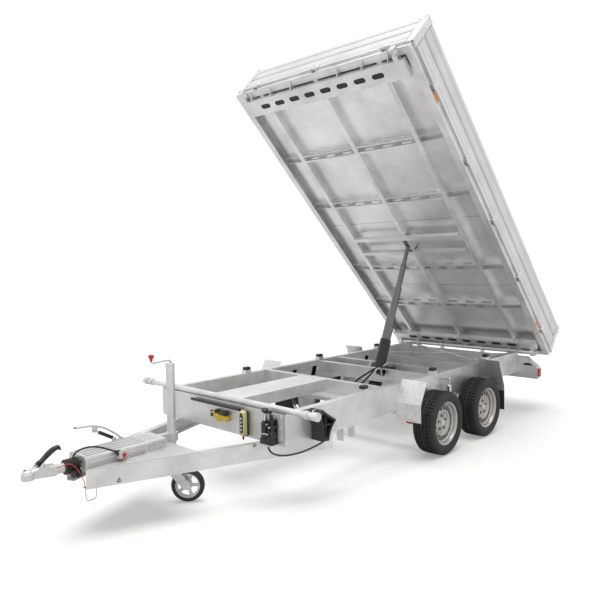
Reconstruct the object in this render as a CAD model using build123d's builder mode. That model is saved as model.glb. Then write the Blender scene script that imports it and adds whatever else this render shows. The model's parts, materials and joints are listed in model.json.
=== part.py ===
from build123d import *
import math
import os

os.makedirs("parts", exist_ok=True)

# A tandem-axle tipping trailer with its bed raised. Millimetres. The origin is the centre of the
# coupling ball, X runs forwards, Y to the left and Z up. Heights are given above the ground and
# places along the chassis ahead of the middle of the two axles. The bed is drawn lowered, in
# places along and above its rear pivot, and each finished piece of it is then tipped.

# Driving dimensions: stance
ball_height = 430
hitch_to_axles = 3400
axle_spacing = 720
wheel_plane_y = 797
tip_angle = 44

# Driving dimensions: chassis
rail_top = 627
rail_height = 212
rail_outer_y = 680
rail_width = 60
rail_lip = 14
chassis_sheet = 4
chassis_front = 2046
front_beam_depth = 60
rear_beam_front = -1460
rear_beam_depth = 85
rear_beam_bottom = 360
rear_beam_top = 575
rear_beam_half = 886
rear_beam_top_half = 760
rear_beam_end_top = 480
web_hole_pitch = 285
web_hole_first = 604
web_hole_count = 6
web_hole_width = 62
web_hole_height = 92
web_hole_slant = 28
web_hole_level = 528

# Driving dimensions: tipping geometry
pivot_behind = 1520
pivot_height = 624
pivot_tube_radius = 22
pivot_tube_half = 860
front_tube_ahead = 2025
front_tube_radius = 21
front_tube_half = 900
collar_radius = 28
collar_length = 46
gimbal_ahead = 85
gimbal_height = 589
eye_along = 1582
eye_above = 75

# Driving dimensions: bed
bed_front = 3554
bed_rear = -116
bed_half_width = 942
frame_above_pivot = 58
frame_height = 60
frame_member = 50
frame_sheet = 3
frame_inset = 12
floor_thickness = 3
wall_height = 300
wall_thickness = 25
wall_floor_gap = 6
post_size = 62
stringer_y = 640
stringer_width = 90
cross_height = 50
cross_width = 30
cross_places = (2779, 2178, 1257, 676)

# Driving dimensions: jockey wheel
jockey_x = -960
jockey_tube_radius = 29
jockey_leg_radius = 24
jockey_tube_bottom = 344
jockey_tube_top = 935
jockey_wheel_radius = 113
jockey_wheel_width = 62
jockey_trail = 100
jockey_turn = 135
jockey_clamp_height = 56
jockey_lift = 90
jockey_leg_gap = 10
tube_cap = 30

# Driving dimensions: wheels
tyre_radius = 262.5
tyre_width = 195
tread_width = 164
rim_radius = 165
rim_width = 150
rim_flange_radius = 181
rim_sheet = 4
drum_radius = 118

# Driving dimensions: cords
cable_radius = 5.5
cable_route = ((-292, 60, 26), (-268, 60, 26), (-243, 63, 40), (-232, 67, 65), (-243, 73, 90),
               (-275, 80, 106), (-318, 89, 111), (-362, 99, 104), (-403, 108, 89), (-440, 116, 71),
               (-468, 121, 55))
plug_radius = 19
plug_length = 68
plug_start = Vector(*cable_route[-1])
plug_dir = (plug_start - Vector(*cable_route[-2])).normalized()
breakaway_radius = 2.5
breakaway_route = ((-150, 30, 18), (-174, 30, 18), (-202, 42, 27), (-224, 56, 26), (-240, 66, 12),
                   (-254, 75, -10), (-266, 83, -38), (-277, 90, -66), (-286, 95, -92), (-286, 95, -122))
hose_radius = 6
hose_route = ((-1314, 560, -5), (-1314, 560, -30), (-1304, 588, -50), (-1300, 634, -58), (-1306, 676, -58),
              (-1330, 708, -57), (-1372, 722, -58), (-1430, 722, -62), (-1490, 718, -64), (-1560, 714, -62),
              (-1630, 712, -56), (-1690, 711, -46), (-1730, 710, -24), (-1748, 710, 4), (-1752, 706, 32),
              (-1752, 680, 32))

# Clearances
seat_gap = 0.3
slide_gap = 0.4


def level(height):
    """Z of a height above the ground."""
    return height - ball_height


def ahead(distance):
    """X of a place ahead of the middle of the axles."""
    return distance - hitch_to_axles


def finish(piece, name):
    """Names a piece and writes it."""
    piece.part.label = name
    export_step(piece.part, f"parts/{name}.step")


pivot_x = ahead(-pivot_behind)
pivot_z = level(pivot_height)
pivot_axis = Axis((pivot_x, 0, pivot_z), (0, 1, 0))


def finish_tipped(piece, name):
    """Tips a piece of the bed about the rear pivot, names it and writes it."""
    piece.part = piece.part.rotate(pivot_axis, -tip_angle)
    finish(piece, name)


def across(y):
    """An upright plane along the trailer at Y = y, with its normal to the left."""
    return Plane(origin=(0, y, 0), x_dir=(-1, 0, 0), z_dir=(0, 1, 0))


def side_sketch_point(x, z):
    """A point of an across() plane, from X and Z."""
    return (-x, z)


sides = (("left", 1), ("right", -1))
rail_top_z = level(rail_top)
rail_bottom_z = rail_top_z - rail_height
rail_inner_y = rail_outer_y - rail_width
rail_centre_y = rail_outer_y - rail_width / 2
rail_mid_z = rail_top_z - rail_height / 2
rail_front_x = ahead(chassis_front - front_beam_depth)
rail_rear_x = ahead(rear_beam_front)


# Side rails: folded boxes, open below, with slanted holes in the inner wall
with BuildPart() as side_rails:
    for name, side in sides:
        with BuildSketch(Plane.YZ.offset(rail_rear_x)):
            with Locations((side * rail_centre_y, rail_mid_z)):
                Rectangle(rail_width, rail_height)
                Rectangle(rail_width - 2 * chassis_sheet, rail_height - 2 * chassis_sheet,
                          mode=Mode.SUBTRACT)
            with Locations((side * rail_centre_y, rail_bottom_z)):
                Rectangle(rail_width - 2 * rail_lip, 3 * chassis_sheet, mode=Mode.SUBTRACT)
        extrude(amount=rail_front_x - rail_rear_x)
        with BuildSketch(across(side * rail_inner_y)):
            for k in range(web_hole_count):
                x = ahead(web_hole_first - k * web_hole_pitch)
                z = level(web_hole_level)
                half_w, half_h, lean = web_hole_width / 2, web_hole_height / 2, web_hole_slant / 2
                with BuildLine():
                    Polyline([side_sketch_point(x + half_w - lean, z + half_h),
                              side_sketch_point(x - half_w - lean, z + half_h),
                              side_sketch_point(x - half_w + lean, z - half_h),
                              side_sketch_point(x + half_w + lean, z - half_h)], close=True)
                make_face()
        extrude(amount=rail_width / 3, both=True, mode=Mode.SUBTRACT)
finish(side_rails, "side_rails")


# Front crossbeam: a channel across the rails' front ends, open to the rear
with BuildPart() as front_crossbeam:
    with BuildSketch(Plane.YZ.offset(rail_front_x)):
        with Locations((0, rail_mid_z)):
            Rectangle(2 * rail_outer_y, rail_height)
    extrude(amount=front_beam_depth)
    with BuildSketch(Plane.YZ.offset(rail_front_x)):
        with Locations((0, rail_mid_z)):
            Rectangle(2 * (rail_outer_y - chassis_sheet), rail_height - 2 * chassis_sheet)
    extrude(amount=front_beam_depth - chassis_sheet, mode=Mode.SUBTRACT)
finish(front_crossbeam, "front_crossbeam")


# Crossmembers between the rails: each row is place ahead, top height, height, width, and 1 where
# the web is the front wall or -1 where it is the rear one. The middle pair carries the gimbal, and
# a flat channel runs from the first one to the front crossbeam.
gimbal_x = ahead(gimbal_ahead)
gimbal_z = level(gimbal_height)
gimbal_pin_radius = 15
gimbal_web_gap = 122
crossmember_width = 50
channel_width = 300
channel_depth = 90
channel_y = -45
crossmember_rows = (
    (948, rail_top, 110, 1),
    (gimbal_ahead + gimbal_web_gap + crossmember_width / 2, 620, 120, -1),
    (gimbal_ahead - gimbal_web_gap - crossmember_width / 2, 620, 120, 1),
    (-850, 560, 110, 1),
)
with BuildPart() as chassis_crossmembers:
    for place, top, height, web in crossmember_rows:
        x = ahead(place)
        z_mid = level(top) - height / 2
        with Locations((x, 0, z_mid)):
            Box(crossmember_width, 2 * rail_inner_y, height)
        with Locations((x - web * chassis_sheet, 0, z_mid)):
            Box(crossmember_width, 2 * rail_inner_y, height - 2 * chassis_sheet, mode=Mode.SUBTRACT)
    with Locations(Plane.YZ.offset(gimbal_x)):
        with Locations((0, gimbal_z)):
            Cylinder(gimbal_pin_radius + seat_gap, 2 * gimbal_web_gap + 4 * chassis_sheet,
                     mode=Mode.SUBTRACT)
    channel_rear_x = ahead(crossmember_rows[0][0] + crossmember_width / 2) + seat_gap
    with BuildSketch(Plane.YZ.offset(channel_rear_x)):
        with Locations((channel_y, rail_top_z - channel_depth / 2)):
            Rectangle(channel_width, channel_depth)
        with Locations((channel_y, rail_top_z - channel_depth / 2 - chassis_sheet)):
            Rectangle(channel_width - 2 * chassis_sheet, channel_depth, mode=Mode.SUBTRACT)
    extrude(amount=rail_front_x - channel_rear_x)
finish(chassis_crossmembers, "chassis_crossmembers")


# Rear crossbeam with tapered ends and the plates that hold the rear tipping tube
pivot_plate_places = (-560, -250, 250, 560)
pivot_plate_thickness = 12
pivot_plate_radius = 36
rear_beam_x = ahead(rear_beam_front)
with BuildPart() as rear_crossbeam:
    with BuildSketch(Plane.YZ.offset(rear_beam_x)) as beam_outline:
        with BuildLine():
            Polyline([(-rear_beam_half, level(rear_beam_bottom)), (rear_beam_half, level(rear_beam_bottom)),
                      (rear_beam_half, level(rear_beam_end_top)), (rear_beam_top_half, level(rear_beam_top)),
                      (-rear_beam_top_half, level(rear_beam_top)), (-rear_beam_half, level(rear_beam_end_top))],
                     close=True)
        make_face()
    extrude(amount=-rear_beam_depth)
    with BuildSketch(Plane.YZ.offset(rear_beam_x - chassis_sheet)):
        add(beam_outline.sketch_local)
        offset(amount=-chassis_sheet, mode=Mode.REPLACE)
    extrude(amount=-rear_beam_depth, mode=Mode.SUBTRACT)
    for y in pivot_plate_places:
        with BuildSketch(across(y)):
            with Locations(side_sketch_point(pivot_x, pivot_z)):
                Circle(pivot_plate_radius)
            with Locations(side_sketch_point(pivot_x, (pivot_z + level(rear_beam_top)) / 2)):
                Rectangle(2 * pivot_plate_radius, pivot_z - level(rear_beam_top))
            with Locations(side_sketch_point(pivot_x, pivot_z)):
                Circle(pivot_tube_radius + seat_gap, mode=Mode.SUBTRACT)
            with Locations(side_sketch_point(pivot_x, level(rear_beam_top) - pivot_plate_radius)):
                Rectangle(4 * pivot_plate_radius, 2 * pivot_plate_radius, mode=Mode.SUBTRACT)
        extrude(amount=pivot_plate_thickness / 2, both=True)
finish(rear_crossbeam, "rear_crossbeam")


# Tipping tubes across the chassis, with a collar at each end of the front one
front_tube_x = ahead(front_tube_ahead)
front_tube_z = rail_top_z + front_tube_radius + seat_gap
with BuildPart() as tipping_tubes:
    with Locations(Plane.XZ):
        with Locations((front_tube_x, front_tube_z)):
            Cylinder(front_tube_radius, 2 * front_tube_half)
        with Locations((front_tube_x, front_tube_z, -front_tube_half - collar_length / 2),
                       (front_tube_x, front_tube_z, front_tube_half + collar_length / 2)):
            Cylinder(collar_radius, collar_length)
        with Locations((pivot_x, pivot_z)):
            Cylinder(pivot_tube_radius, 2 * pivot_tube_half)
finish(tipping_tubes, "tipping_tubes")


# Bed rests on the rails with rubber pads, and brackets below the rails behind the drawbar's ends
rest_places = (1180, 200, -780)
rest_length = 64
rest_width = 52
rest_height = 26
pad_height = 24
hanger_rear = 1330
hanger_length = 130
hanger_depth = 92
with BuildPart() as rail_brackets:
    for place in rest_places:
        for side in (1, -1):
            with Locations((ahead(place), side * rail_centre_y, rail_top_z + rest_height / 2)):
                Box(rest_length, rest_width, rest_height)
    for side in (1, -1):
        with Locations((ahead(hanger_rear) + hanger_length / 2, side * rail_centre_y,
                        rail_bottom_z - hanger_depth / 2)):
            Box(hanger_length, rail_width, hanger_depth)
        with Locations((ahead(hanger_rear) + hanger_length / 2, side * rail_centre_y,
                        rail_bottom_z - hanger_depth / 2 - chassis_sheet)):
            Box(hanger_length - 2 * chassis_sheet, 2 * rail_width, hanger_depth, mode=Mode.SUBTRACT)
finish(rail_brackets, "rail_brackets")
with BuildPart() as bed_rest_pads:
    for place in rest_places:
        for side in (1, -1):
            with Locations((ahead(place), side * rail_centre_y, rail_top_z + rest_height + pad_height / 2)):
                Box(rest_length - 8, rest_width - 8, pad_height)
finish(bed_rest_pads, "bed_rest_pads")


# Drawbar: two channels, open inwards, that meet behind the coupling
drawbar_height = 112
drawbar_flange = 52
drawbar_web = 5
drawbar_front = (-280, 120)
drawbar_rear = (ahead(1580), rail_outer_y)
drawbar_top_z = rail_bottom_z


with BuildPart() as drawbar_beams:
    for name, side in sides:
        front = Vector(drawbar_front[0], side * drawbar_front[1], 0)
        rear = Vector(drawbar_rear[0], side * drawbar_rear[1], 0)
        along_beam = front - rear
        inward = Vector(0, 0, 1).cross(along_beam.normalized()) * (-side)
        start = Plane(origin=(rear.X, rear.Y, drawbar_top_z - drawbar_height / 2),
                      x_dir=inward, z_dir=along_beam.normalized())
        with BuildSketch(start):
            with Locations((drawbar_flange / 2, 0)):
                Rectangle(drawbar_flange, drawbar_height)
            with Locations((drawbar_flange / 2 + drawbar_web, 0)):
                Rectangle(drawbar_flange, drawbar_height - 2 * drawbar_web, mode=Mode.SUBTRACT)
        extrude(amount=along_beam.length)
finish(drawbar_beams, "drawbar_beams")


# Overrun device: a ribbed cover over the draw tube, on a base plate across the two beams
device_front_x = -292
device_rear_x = -845
base_rear_x = -922
device_half_width = 100
device_top = 485
device_base = 6
rib_places = (-66, -22, 22, 66)
holder_along = 44
holder_length = 46
draw_tube_radius = 28
draw_tube_height = 427
drawbar_slope = (drawbar_rear[1] - drawbar_front[1]) / (drawbar_front[0] - drawbar_rear[0])


def drawbar_outer_y(x):
    """Y of the left beam's outer face at a place along X."""
    return drawbar_front[1] + (drawbar_front[0] - x) * drawbar_slope


with BuildPart() as overrun_housing:
    with BuildSketch(Plane.XY.offset(drawbar_top_z)):
        with BuildLine():
            front_half = drawbar_outer_y(device_front_x)
            rear_half = drawbar_outer_y(base_rear_x)
            Polyline([(device_front_x, front_half), (device_front_x, -front_half),
                      (base_rear_x, -rear_half), (base_rear_x, rear_half)], close=True)
        make_face()
    extrude(amount=device_base)
    cover_bottom_z = drawbar_top_z + device_base
    cover_height = level(device_top) - cover_bottom_z
    with Locations(((device_front_x + device_rear_x) / 2, 0, cover_bottom_z + cover_height / 2)):
        Box(device_front_x - device_rear_x, 2 * device_half_width, cover_height)
    cover_top = overrun_housing.faces().sort_by(Axis.Z)[-1]
    long_edges = cover_top.edges().filter_by(Axis.X)
    fillet(long_edges, radius=22)
    for y in rib_places:
        with Locations(((device_front_x + device_rear_x) / 2 + 60, y, level(device_top))):
            Box(device_front_x - device_rear_x - 160, 14, 10)
    with Locations(Plane.YZ.offset(device_front_x)):
        with Locations((0, level(draw_tube_height))):
            Cylinder(draw_tube_radius + seat_gap, 40, mode=Mode.SUBTRACT)
    holder_middle = plug_start + plug_dir * holder_along
    with Locations((holder_middle.X, (device_half_width + holder_middle.Y) / 2, holder_middle.Z)):
        Box(holder_length, holder_middle.Y - device_half_width + 2 * plug_radius, holder_length)
    with Locations(Plane(origin=holder_middle, z_dir=plug_dir)):
        Cylinder(plug_radius + seat_gap, 2 * plug_length, mode=Mode.SUBTRACT)
    clamp_mid_z = cover_bottom_z + jockey_clamp_height / 2
    with Locations(((device_rear_x + jockey_x) / 2, 0, clamp_mid_z)):
        Box(device_rear_x - jockey_x, 44, jockey_clamp_height)
    with Locations((jockey_x, 0, clamp_mid_z)):
        Cylinder(jockey_tube_radius + 12, jockey_clamp_height)
        Cylinder(jockey_tube_radius + seat_gap, 3 * jockey_clamp_height, mode=Mode.SUBTRACT)
finish(overrun_housing, "overrun_housing")

# Bellows over the draw tube
bellows_front_x = -205
bellows_radius = 40
bellows_root = 31
bellows_folds = 7
bellows_pitch = (bellows_front_x - device_front_x) / bellows_folds
with BuildPart() as drawbar_bellows:
    with BuildSketch(Plane.XZ):
        with BuildLine():
            fold_points = [(device_front_x, draw_tube_radius)]
            for k in range(bellows_folds):
                fold_points.append((device_front_x + k * bellows_pitch, bellows_root))
                fold_points.append((device_front_x + (k + 0.5) * bellows_pitch, bellows_radius))
            fold_points.append((bellows_front_x, bellows_root))
            fold_points.append((bellows_front_x, draw_tube_radius))
            Polyline([(x, level(draw_tube_height) + r) for x, r in fold_points], close=True)
        make_face()
    revolve(axis=Axis((0, 0, level(draw_tube_height)), (1, 0, 0)))
finish(drawbar_bellows, "drawbar_bellows")

# Coupling head: the ball socket is a short bore with a domed end
ball_radius = 25
socket_radius = ball_radius + seat_gap
socket_depth = 20
head_radius = 36
head_shoulder = 12
head_crown = 36
head_rear_x = -150
with BuildPart() as coupling_head:
    with Locations(Plane.YZ.offset(device_front_x - 20)):
        with Locations((0, level(draw_tube_height))):
            Cylinder(draw_tube_radius - seat_gap, head_rear_x - device_front_x + 30,
                     align=(Align.CENTER, Align.CENTER, Align.MIN))
    with BuildSketch(Plane.YZ.offset(head_rear_x)):
        with Locations((0, level(draw_tube_height) + 4)):
            RectangleRounded(74, 66, 14)
    with BuildSketch(Plane.YZ.offset(-50)):
        with Locations((0, 8)):
            RectangleRounded(66, 62, 14)
    loft()
    with BuildSketch(Plane.YZ.offset(-50)):
        with Locations((0, 8)):
            RectangleRounded(66, 62, 14)
    with BuildSketch(Plane.YZ.offset(-10)):
        with Locations((0, 7)):
            RectangleRounded(56, 48, 14)
    loft()
    with BuildSketch(Plane.XZ):
        with BuildLine():
            Polyline([(0, -socket_depth), (head_radius, -socket_depth), (head_radius, head_shoulder),
                      (head_radius - 10, head_crown - 6), (head_radius - 20, head_crown),
                      (0, head_crown)], close=True)
        make_face()
    revolve(axis=Axis.Z)
    with Locations((0, 0, -socket_depth - 5)):
        Cylinder(socket_radius, socket_depth + 5, align=(Align.CENTER, Align.CENTER, Align.MIN),
                 mode=Mode.SUBTRACT)
    Sphere(socket_radius, mode=Mode.SUBTRACT)
    with Locations((0, 0, -socket_depth - 30)):
        Box(160, 120, 60, mode=Mode.SUBTRACT)
finish(coupling_head, "coupling_head")

# Coupling handle: a grip that slants up and back from the head
handle_foot = (-62, 46.4)
handle_tip = (-172, 134.4)
handle_radius = 11
with BuildPart() as coupling_handle:
    handle_plane = Plane(origin=(handle_foot[0], 0, handle_foot[1] + seat_gap), x_dir=(0, 1, 0),
                         z_dir=(handle_tip[0] - handle_foot[0], 0, handle_tip[1] - handle_foot[1]))
    with BuildSketch(handle_plane):
        SlotOverall(30, 2 * handle_radius)
    extrude(amount=math.dist(handle_foot, handle_tip))
    fillet(coupling_handle.faces().sort_by(Axis.Z)[-1].edges(), radius=6)
finish(coupling_handle, "coupling_handle")

# Handbrake lever with its grip, beside the device on the right
lever_size = 12
brake_y = -device_half_width - lever_size / 2 - seat_gap
lever_points = ((-640, 55), (-530, 92), (-400, 150), (-335, 168), (-255, 172))
with BuildPart() as handbrake_lever:
    with BuildLine(Plane.XZ.offset(-brake_y)):
        Polyline([(x, z) for x, z in lever_points])
    with BuildSketch(Plane(origin=(lever_points[0][0], brake_y, lever_points[0][1]),
                           x_dir=(0, 1, 0),
                           z_dir=(lever_points[1][0] - lever_points[0][0], 0,
                                  lever_points[1][1] - lever_points[0][1]))):
        Rectangle(lever_size, lever_size)
    sweep(transition=Transition.RIGHT)
    with Locations((lever_points[0][0], brake_y, lever_points[0][1] - 20)):
        Box(50, lever_size, 50)
finish(handbrake_lever, "handbrake_lever")

# Gas strut of the handbrake
strut_foot = (-600, 62)
strut_head = (-470, 138)
strut_radius = 11
strut_y = brake_y - lever_size / 2 - strut_radius - seat_gap
with BuildPart() as handbrake_strut:
    strut_plane = Plane(origin=(strut_foot[0], strut_y, strut_foot[1]), x_dir=(0, 1, 0),
                        z_dir=(strut_head[0] - strut_foot[0], 0, strut_head[1] - strut_foot[1]))
    with Locations(strut_plane):
        Cylinder(strut_radius, math.dist(strut_foot, strut_head),
                 align=(Align.CENTER, Align.CENTER, Align.MIN))
finish(handbrake_strut, "handbrake_strut")


# Jockey wheel: clamped tube, sliding leg with fork, and wheel
crank_top = 968
crank_reach = 144
crank_knob_height = 40
with BuildPart() as jockey_tube:
    with Locations((jockey_x, 0, level(jockey_tube_bottom))):
        Cylinder(jockey_tube_radius, jockey_tube_top - jockey_tube_bottom,
                 align=(Align.CENTER, Align.CENTER, Align.MIN))
        Cylinder(jockey_leg_radius + slide_gap, jockey_tube_top - jockey_tube_bottom - tube_cap,
                 align=(Align.CENTER, Align.CENTER, Align.MIN), mode=Mode.SUBTRACT)
finish(jockey_tube, "jockey_tube")
with BuildPart() as jockey_crank:
    with Locations((jockey_x, 0, level(jockey_tube_top))):
        Cylinder(12, crank_top - jockey_tube_top, align=(Align.CENTER, Align.CENTER, Align.MIN))
    with BuildSketch(Plane.XY.offset(level(crank_top) - 10)):
        with Locations((jockey_x + crank_reach / 2, 0)):
            SlotCenterToCenter(crank_reach, 12)
    extrude(amount=8)
    with Locations((jockey_x + crank_reach, 0, level(crank_top) - 2)):
        Cone(11, 19, crank_knob_height, align=(Align.CENTER, Align.CENTER, Align.MIN))
finish(jockey_crank, "jockey_crank")

turn = math.radians(jockey_turn)
trail_dir = (math.cos(turn), math.sin(turn), 0)
wheel_axle_dir = (math.sin(turn), -math.cos(turn), 0)
jockey_hub = (jockey_x + jockey_trail * trail_dir[0], jockey_trail * trail_dir[1],
              level(jockey_wheel_radius))
fork_plate = 5
fork_gap = 5
fork_half = jockey_wheel_width / 2 + fork_gap
fork_top = 2 * jockey_wheel_radius + 14
fork_head_front = 40
fork_eye = 22
axle_radius = 8
wheel_plane = Plane(origin=jockey_hub, x_dir=trail_dir, z_dir=wheel_axle_dir)
with BuildPart() as jockey_leg:
    leg_bottom = fork_top + seat_gap
    leg_top = jockey_tube_top - tube_cap - jockey_lift - jockey_leg_gap
    with Locations((jockey_x, 0, level(leg_bottom))):
        Cylinder(jockey_leg_radius, leg_top - leg_bottom, align=(Align.CENTER, Align.CENTER, Align.MIN))
finish(jockey_leg, "jockey_leg")
with BuildPart() as jockey_fork:
    head_y = fork_top - jockey_wheel_radius
    for start in (fork_half, -fork_half - fork_plate):
        with BuildSketch(wheel_plane.offset(start)):
            with BuildLine():
                Polyline([(-jockey_trail - jockey_leg_radius, head_y), (fork_head_front - jockey_trail, head_y),
                          (fork_eye, fork_eye / 2), (fork_eye, -fork_eye), (-fork_eye, -fork_eye),
                          (-jockey_trail - jockey_leg_radius, head_y - 30)], close=True)
            make_face()
        extrude(amount=fork_plate)
    with BuildSketch(Plane(origin=(jockey_x, 0, level(fork_top)), x_dir=trail_dir, z_dir=(0, 0, 1))):
        with Locations(((fork_head_front - jockey_leg_radius) / 2, 0)):
            Rectangle(fork_head_front + jockey_leg_radius, 2 * (fork_half + fork_plate))
    extrude(amount=-fork_plate)
    with Locations(wheel_plane):
        Cylinder(axle_radius, 2 * fork_half)
finish(jockey_fork, "jockey_fork")
tread_half = jockey_wheel_width / 2
disc_radius = 66
disc_half = 6
boss_half = 24
with BuildPart() as jockey_wheel:
    with BuildSketch(Plane(origin=jockey_hub, x_dir=(0, 0, 1), z_dir=trail_dir)):
        with BuildLine():
            Polyline([(axle_radius + 0.5, -boss_half), (24, -boss_half), (24, -disc_half),
                      (disc_radius, -disc_half), (disc_radius, 4 - tread_half), (82, 4 - tread_half),
                      (98, -tread_half), (108, 8 - tread_half), (jockey_wheel_radius, 22 - tread_half),
                      (jockey_wheel_radius, tread_half - 22), (108, tread_half - 8), (98, tread_half),
                      (82, tread_half - 4), (disc_radius, tread_half - 4), (disc_radius, disc_half),
                      (24, disc_half), (24, boss_half), (axle_radius + 0.5, boss_half)], close=True)
        make_face()
    revolve(axis=Axis(jockey_hub, wheel_axle_dir))
finish(jockey_wheel, "jockey_wheel")


# Axles: each is a torsion tube with its brackets, and at both ends a trailing arm with its backing
# plate and stub axle
axle_tube_ahead = 150
axle_tube_height = 350
axle_tube_radius = 44
bracket_length = 110
bracket_inset = 8
arm_thickness = 12
arm_inner_y = rail_outer_y - 6
stub_radius = 20
drum_inner_y = arm_inner_y + arm_thickness + 8
axle_places = (("front", axle_spacing / 2), ("rear", -axle_spacing / 2))
wheel_z = level(tyre_radius)
with BuildPart() as axles:
    for name, place in axle_places:
        wheel_x = ahead(place)
        tube_x = wheel_x + axle_tube_ahead
        with BuildSketch(across(-arm_inner_y)):
            with Locations(side_sketch_point(tube_x, level(axle_tube_height))):
                RegularPolygon(axle_tube_radius, 6)
        extrude(amount=2 * arm_inner_y)
        for side in (1, -1):
            with Locations((tube_x, side * arm_inner_y, level(axle_tube_height))):
                Box(3 * axle_tube_radius, 2 * seat_gap, 3 * axle_tube_radius, mode=Mode.SUBTRACT)
        for side in (1, -1):
            with BuildSketch(across(side * arm_inner_y)):
                with BuildLine():
                    Polyline([side_sketch_point(tube_x, level(axle_tube_height) + 42),
                              side_sketch_point(tube_x + 40, level(axle_tube_height)),
                              side_sketch_point(tube_x, level(axle_tube_height) - 42),
                              side_sketch_point(wheel_x, wheel_z - 34),
                              side_sketch_point(wheel_x - 34, wheel_z),
                              side_sketch_point(wheel_x, wheel_z + 34)], close=True)
                make_face()
            extrude(amount=side * arm_thickness)
            with Locations((tube_x, side * (rail_inner_y + arm_inner_y) / 2,
                            (level(axle_tube_height) + rail_bottom_z) / 2)):
                Box(bracket_length, arm_inner_y - rail_inner_y - bracket_inset,
                    rail_bottom_z - level(axle_tube_height))
            with Locations(Plane.XZ):
                with Locations((wheel_x, wheel_z, -side * (arm_inner_y + arm_thickness + 4))):
                    Cylinder(drum_radius, 8)
                with Locations((wheel_x, wheel_z, -side * (drum_inner_y + 35))):
                    Cylinder(stub_radius, 70)
finish(axles, "axles")


# Wheels: tyre and steel rim with its hub drum, drawn across the left wheel's plane
def wheel_tyre(x, side):
    half = tyre_width / 2
    bead = rim_width / 2 - 4
    with BuildPart() as tyre:
        with BuildSketch(Plane(origin=(x, side * wheel_plane_y, wheel_z), x_dir=(0, 0, 1),
                               z_dir=(1, 0, 0))):
            with BuildLine():
                Polyline([(rim_radius + seat_gap, -bead), (rim_flange_radius, -bead),
                          (rim_flange_radius + 2, -half + 5), (rim_radius + 48, -half),
                          (tyre_radius - 26, -half + 4), (tyre_radius - 6, -tread_width / 2),
                          (tyre_radius, -tread_width / 2 + 16), (tyre_radius, tread_width / 2 - 16),
                          (tyre_radius - 6, tread_width / 2), (tyre_radius - 26, half - 4),
                          (rim_radius + 48, half), (rim_flange_radius + 2, half - 5),
                          (rim_flange_radius, bead), (rim_radius + seat_gap, bead),
                          (rim_radius + seat_gap, bead - 14), (rim_radius + 26, 0),
                          (rim_radius + seat_gap, 14 - bead)],
                         close=True)
            make_face()
        revolve(axis=Axis((x, 0, wheel_z), (0, 1, 0)))
    return tyre


def wheel_rim(x, side):
    half = rim_width / 2
    hub_plane = wheel_plane_y + 30
    hub_offset = 30
    with BuildPart() as rim:
        with BuildSketch(Plane(origin=(x, side * wheel_plane_y, wheel_z), x_dir=(0, 0, 1),
                               z_dir=(1, 0, 0))):
            out = -side
            with BuildLine():
                Polyline([(rim_flange_radius, -half - 8), (rim_flange_radius, -half - 4), (rim_radius, -half),
                          (rim_radius, -half + 22), (rim_radius - 18, -half + 34), (rim_radius - 18, half - 34),
                          (rim_radius, half - 22), (rim_radius, half), (rim_flange_radius, half + 4),
                          (rim_flange_radius, half + 8), (rim_radius - 4, half + 4),
                          (rim_radius - 4, half - 20), (rim_radius - 22, half - 32),
                          (rim_radius - 22, -half + 32), (rim_radius - 4, -half + 20),
                          (rim_radius - 4, -half - 4)], close=True)
            make_face()
            with BuildLine():
                Polyline([(30, out * hub_offset), (90, out * hub_offset), (112, out * (hub_offset + 22)),
                          (rim_radius - 20, out * (hub_offset - 4)), (rim_radius - 20, out * (hub_offset - 10)),
                          (112, out * (hub_offset + 15)), (92, out * (hub_offset - 6)),
                          (30, out * (hub_offset - 6))], close=True)
            make_face()
        revolve(axis=Axis((x, 0, wheel_z), (0, 1, 0)))
        with Locations(Plane.XZ):
            with Locations((x, wheel_z, -side * hub_plane)):
                with PolarLocations(56, 5):
                    Cylinder(9, 14)
                with PolarLocations(126, 12):
                    Cylinder(11, 90, mode=Mode.SUBTRACT)
            with Locations((x, wheel_z, -side * (drum_inner_y + hub_plane) / 2)):
                Cylinder(drum_radius - 6, hub_plane - drum_inner_y - 1)
            with Locations((x, wheel_z, -side * (hub_plane + 14))):
                Cylinder(30, 34)
            with Locations((x, wheel_z, -side * (drum_inner_y + 38))):
                Cylinder(stub_radius + slide_gap, 80, mode=Mode.SUBTRACT)
    return rim


for axle_name, place in axle_places:
    for side_name, side in sides:
        finish(wheel_tyre(ahead(place), side), f"tyre_{axle_name}_{side_name}")
        finish(wheel_rim(ahead(place), side), f"rim_{axle_name}_{side_name}")


# Mudguards: on each rail a bent plate ahead of the wheels and one behind them
guard_outer_y = 905
guard_sheet = 3
guard_lines = (
    ((711, 663), (797, 491), (797, 352)),
    ((-533, 668), (-643, 429), (-643, 375)),
)
with BuildPart() as mudguards:
    for line in guard_lines:
        inner = [(ahead(x), level(z)) for x, z in line]
        shift = guard_sheet if line[0][0] > 0 else -guard_sheet
        outer = [(x + shift, z) for x, z in reversed(inner)]
        for side in (1, -1):
            with BuildSketch(across(side * rail_outer_y)):
                with BuildLine():
                    Polyline([side_sketch_point(x, z) for x, z in inner + outer], close=True)
                make_face()
            extrude(amount=side * (guard_outer_y - rail_outer_y))
finish(mudguards, "mudguards")

flap_width = 190
flap_bottom = 195
flap_top = 410
flap_thickness = 5
with BuildPart() as mud_flaps:
    for side in (1, -1):
        with Locations((ahead(guard_lines[1][-1][0]) - guard_sheet - flap_thickness / 2,
                        side * (guard_outer_y - flap_width / 2), level((flap_bottom + flap_top) / 2))):
            Box(flap_thickness, flap_width, flap_top - flap_bottom)
finish(mud_flaps, "mud_flaps")


# Lamps on the rear crossbeam's ends
with BuildPart() as tail_lamps:
    for side in (1, -1):
        with Locations((rear_beam_x - rear_beam_depth / 2, side * (rear_beam_half + 7), level(425))):
            Box(50, 14, 80)
finish(tail_lamps, "tail_lamps")


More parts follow.
